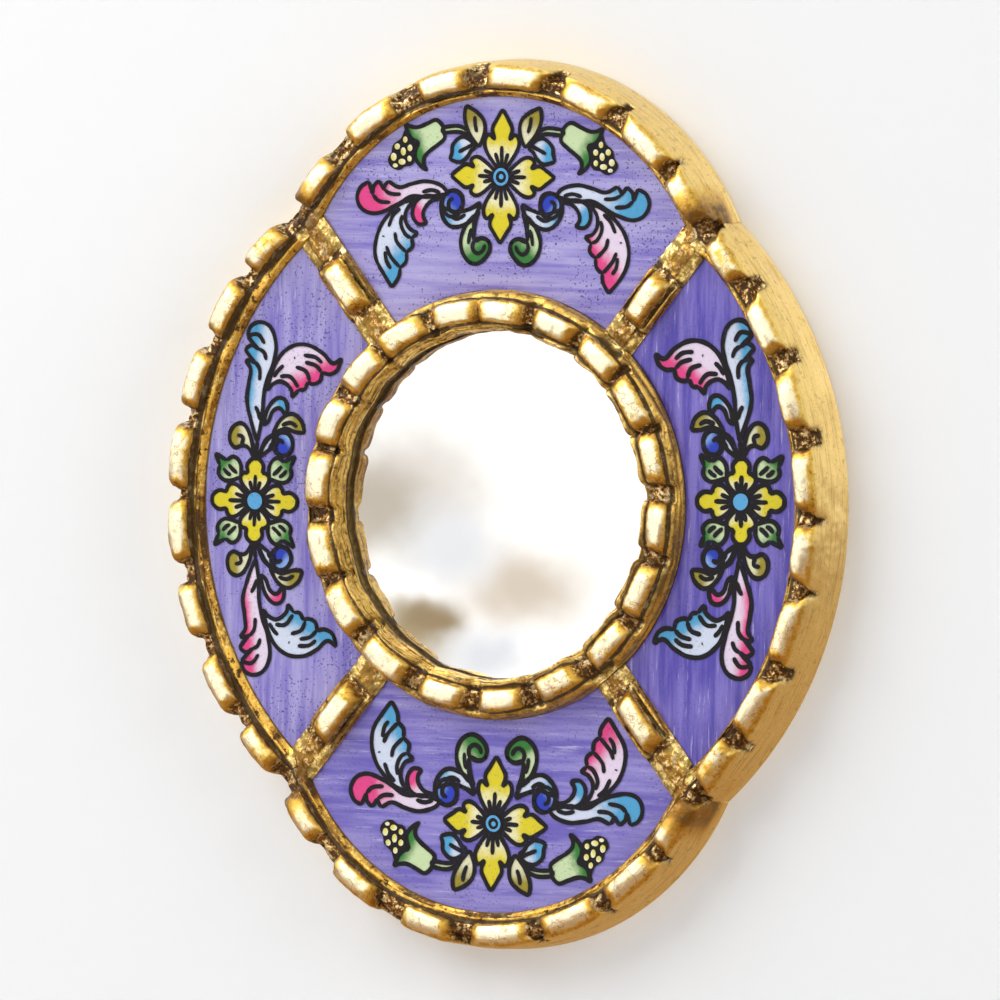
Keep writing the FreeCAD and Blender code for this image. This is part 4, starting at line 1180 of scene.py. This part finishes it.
def makeSilver():
    material, tree, shader = newMaterial("silvering", Metallic=1.0, Roughness=0.0)
    breath = between(tree, cloud(tree, objectPlace(tree), mirror["breathSize"], 3), *mirror["breath"])
    feed(tree, shader, Base_Color=mixColour(tree, breath, mirror["silver"], mirror["dullSilver"]))
    bm = bmesh.new()
    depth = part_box("mirror_plate")[0].y + mirror["silverDepth"] * mm
    upright = Matrix.Translation((0, depth, 0)) @ Matrix.Rotation(math.radians(90), 4, "X")
    bmesh.ops.create_circle(bm, cap_ends=True, segments=128, radius=mirror["silverRadius"] * mm,
                            matrix=upright)
    pieceFrom(bm, "silver_layer", [material], smooth=False)


board = {
    "pale": linear(176, 134, 88), "dark": linear(122, 84, 50),
    "grainScale": (16, 30, 210), "poreScale": (60, 100, 1400), "grainStart": (0.3, 0.0, 0.0),
}


def makeBoard():
    material, tree, shader = newMaterial("boardWood", Roughness=0.62)
    place = objectPlace(tree)
    moved = vectorMaths(tree, "ADD", place, board["grainStart"])[0]
    lines = cloud(tree, stretched(tree, moved, board["grainScale"]), 1.0, 6, 0.65)
    pores = cloud(tree, stretched(tree, place, board["poreScale"]), 1.0, 2)
    colour = mixColour(tree, between(tree, lines, 0.35, 0.68), board["pale"], board["dark"])
    colour = mixColour(tree, between(tree, pores, 0.60, 0.75, 0.0, 0.5), colour, board["dark"])
    feed(tree, shader, Base_Color=colour, Normal=bumpOf(tree, lines, 0.25, 0.0004))
    return material


brass = {
    "strap": linear(206, 172, 104), "ring": linear(196, 160, 92), "screw": linear(188, 156, 98),
    "stain": linear(108, 82, 44), "stainSize": 260.0, "scratchScale": (2600, 300, 180),
}


def makeBrass(name):
    material, tree, shader = newMaterial(f"{name}Brass", Metallic=1.0)
    place = objectPlace(tree)
    stain = between(tree, cloud(tree, place, brass["stainSize"], 5, 0.65), 0.45, 0.72, 0.0, 0.7)
    scratch = cloud(tree, stretched(tree, place, brass["scratchScale"]), 1.0, 3)
    feed(tree, shader, Base_Color=mixColour(tree, stain, brass[name], brass["stain"]),
         Roughness=between(tree, scratch, 0.35, 0.65, 0.24, 0.42))
    return material


makeSilver()
finishes = {"mirror_plate": makeMirrorGlass(), "base_board": makeBoard(),
            "hanger_strap": makeBrass("strap"), "hanger_ring": makeBrass("ring"),
            "hanger_screws": makeBrass("screw")}
for name, material in finishes.items():
    dress(name, material)
print("mirror, board and hanger finished")


# stage: a white wall that only shows from the front, a pale floor, soft lamps

stage = {
    "wall": (0.92, 0.92, 0.93, 1), "floor": (0.84, 0.84, 0.83, 1), "floorGlow": (0.5, 0.5, 0.5, 1),
    "wallHalf": 2.5, "wallGap": 0.0006, "floorHalf": 8.0, "floorDrop": 0.45,   # metres
    "underLight": linear(158, 122, 82),   # what satin surfaces see of the floor
    "cardAway": 0.5, "cardHalf": 0.3,     # metres
    "cardLight": 1.35, "blurShift": 16, "blurWave": 0.05,
    # blurred room in the mirror: middle and reach in mm, colour
    "blurs": [(-26, 4, 44, 36, linear(206, 200, 194)), (-38, -2, 24, 28, linear(182, 174, 162)),
              (14, -30, 40, 24, linear(204, 192, 178)), (-25, -47, 24, 20, linear(164, 148, 118)),
              (-19, -42, 18, 12, linear(150, 132, 104)), (-12, -14, 30, 24, linear(218, 220, 225)),
              (2, -54, 26, 15, linear(214, 216, 223))],
    # lamps: azimuth and elevation in degrees, distance and size in metres, level
    "lamps": {"keyLamp": (-42, 38, 1.8, 1.7, 0.70), "fillLamp": (68, 18, 2.2, 1.2, 0.32),
              "backLamp": (150, 30, 2.0, 1.2, 0.40), "backFill": (215, 20, 2.0, 1.2, 0.35)},
    "ambient": 0.34,
    # what metal and glass see: way, then from and to where it grows, and its levels there
    "window": ((-35, 25), (-0.2, 0.92, 0.82, 1.4)), "beside": ((150, 0), (0.6, 0.95, 0.0, 0.35)),
    "below": (-0.7, 0.2, 0.6, 1.0),
}


def makeSheet(name, size, matrix, material):
    bm = bmesh.new()
    bm.loops.layers.uv.new("card")
    bmesh.ops.create_grid(bm, x_segments=1, y_segments=1, size=size, matrix=matrix, calc_uvs=True)
    sheet = meshObject(bm, name, [material])
    return sheet


def makeWallPaint():
    material, tree, shader = newMaterial("wallPaint", Roughness=0.9, Base_Color=stage["wall"])
    clear = addNode(tree, "ShaderNodeBsdfTransparent")
    behind = addNode(tree, "ShaderNodeNewGeometry").outputs["Backfacing"]
    mixed = addNode(tree, "ShaderNodeMixShader", {0: behind, 1: shader.outputs[0], 2: clear.outputs[0]})
    tree.links.new(mixed.outputs[0], tree.nodes["Material Output"].inputs["Surface"])
    return material


def makeFloorPaint():
    material, tree, shader = newMaterial("floorPaint", Roughness=0.8, Emission_Strength=1.0)
    path = addNode(tree, "ShaderNodeLightPath").outputs
    # satin surfaces see the brown light, the camera and the mirror see the pale floor
    soft = maths(tree, "SUBTRACT", path["Is Glossy Ray"], path["Is Singular Ray"])
    seen = most(tree, path["Is Camera Ray"], path["Is Singular Ray"])
    feed(tree, shader, Base_Color=mixColour(tree, soft, stage["floor"], stage["underLight"]),
         Emission_Color=mixColour(tree, seen, (0, 0, 0, 1), stage["floorGlow"]))
    return material


def makeCardLight():  # a bright blurred room that only mirror, glass and gold see
    material, tree, shader = newMaterial(
        "cardLight", Roughness=1.0, Emission_Strength=stage["cardLight"], Base_Color=(0, 0, 0, 1),
        Specular_IOR_Level=0.0)
    spot = addNode(tree, "ShaderNodeUVMap", uv_map="card").outputs[0]
    full, shift = 2 * stage["cardHalf"] / mm, stage["blurShift"]
    centred = vectorMaths(tree, "MULTIPLY_ADD", spot, (full, full, 0), (-full / 2, -full / 2, 0))[0]
    waves = {"Vector": centred, "Scale": stage["blurWave"], "Detail": 2.0}
    wave = addNode(tree, "ShaderNodeTexNoise", waves).outputs["Color"]
    centred = vectorMaths(tree, "MULTIPLY_ADD", wave, (shift, shift, 0), centred)[0]
    colour = (1, 1, 1, 1)
    for x, y, wide, high, tint in stage["blurs"]:
        middle = (-(x + shift / 2) / wide, -(y + shift / 2) / high, 0)
        scaled = vectorMaths(tree, "MULTIPLY_ADD", centred, (1 / wide, 1 / high, 0), middle)[0]
        gone = vectorMaths(tree, "LENGTH", scaled)["Value"]
        colour = mixColour(tree, between(tree, gone, 1.0, 0.1), colour, tint)
    feed(tree, shader, Emission_Color=colour)
    return material


facing = Matrix.Translation((0, stage["wallGap"], 0)) @ Matrix.Rotation(math.radians(90), 4, "X")
wall = makeSheet("wall", stage["wallHalf"], facing, makeWallPaint())
wall.visible_shadow = wall.visible_diffuse = wall.visible_glossy = False
makeSheet("floor", stage["floorHalf"], Matrix.Translation((0, 0, -stage["floorDrop"])), makeFloorPaint())

view = {
    "azimuth": 29.47, "elevation": 1.69, "roll": 1.16,   # degrees
    "distance": 5.7, "clip": 50.0, "lens": 609.0, "sensor": 36.0,
    "aimRight": -6.13, "aimUp": 1.28,                    # mm from the part's origin
}


def away(azimuth, elevation):
    a, e = math.radians(azimuth), math.radians(elevation)
    return Vector((math.sin(a) * math.cos(e), -math.cos(a) * math.cos(e), math.sin(e)))


def makeLamp(name, azimuth, elevation, distance, size, level):
    data = bpy.data.lights.new(name, "AREA")
    data.shape = "DISK"
    data.size = size
    data.energy = level * (math.pi * distance) ** 2   # level 1 lights a square-on white surface to white
    lamp = addObject(name, data)
    direction = away(azimuth, elevation)
    lamp.location = direction * distance
    lamp.rotation_euler = direction.to_track_quat("Z", "Y").to_euler()
    lamp.visible_glossy = name == "keyLamp"


behind = away(-view["azimuth"], -view["elevation"])
card = makeSheet("card", stage["cardHalf"], Matrix.Translation(behind * stage["cardAway"])
                 @ behind.to_track_quat("Z", "Y").to_matrix().to_4x4(), makeCardLight())
card.visible_camera = card.visible_diffuse = card.visible_shadow = card.visible_transmission = False

for name, settings in stage["lamps"].items():
    makeLamp(name, *settings)


def makeWorld():
    world = bpy.data.worlds.new("studio")
    world.use_nodes = True
    tree = world.node_tree
    base = tree.nodes["Background"]
    base.inputs["Color"].default_value = (1, 1, 1, 1)
    path = addNode(tree, "ShaderNodeLightPath").outputs
    seen = most(tree, path["Is Camera Ray"], path["Is Transmission Ray"])
    values = {"Value": seen, "To Min": stage["ambient"], "To Max": 1.0}
    level = addNode(tree, "ShaderNodeMapRange", values).outputs[0]
    # metal and glass see a window to the left, a dimmer room to the right and the wall beside the part
    direction = addNode(tree, "ShaderNodeTexCoord").outputs["Generated"]

    def glow(kind):
        way, span = stage[kind]
        toward = vectorMaths(tree, "DOT_PRODUCT", direction, away(*way))["Value"]
        return between(tree, toward, *span)

    rise = addNode(tree, "ShaderNodeSeparateXYZ", {0: direction}).outputs["Z"]
    bright = times(tree, glow("window"), between(tree, rise, *stage["below"]))
    bright = maths(tree, "ADD", bright, glow("beside"))
    values = {"Factor": path["Is Glossy Ray"], "A": level, "B": bright}
    level = addNode(tree, "ShaderNodeMix", values).outputs["Result"]
    tree.links.new(level, base.inputs["Strength"])
    bpy.context.scene.world = world


makeWorld()


def makeCamera():
    data = bpy.data.cameras.new("camera")
    data.lens, data.sensor_width = view["lens"], view["sensor"]
    data.clip_end = view["clip"]
    camera = addObject("camera", data)
    back = away(view["azimuth"], view["elevation"])
    turn = back.to_track_quat("Z", "Y").to_matrix()
    right, up = turn.col[0], turn.col[1]
    aim = (right * view["aimRight"] + up * view["aimUp"]) * mm
    roll = Matrix.Rotation(math.radians(view["roll"]), 3, "Z")
    camera.matrix_world = Matrix.Translation(aim + back * view["distance"]) @ (turn @ roll).to_4x4()
    bpy.context.scene.camera = camera


makeCamera()
bpy.context.scene.view_settings.view_transform = "Standard"
print("stage lit")
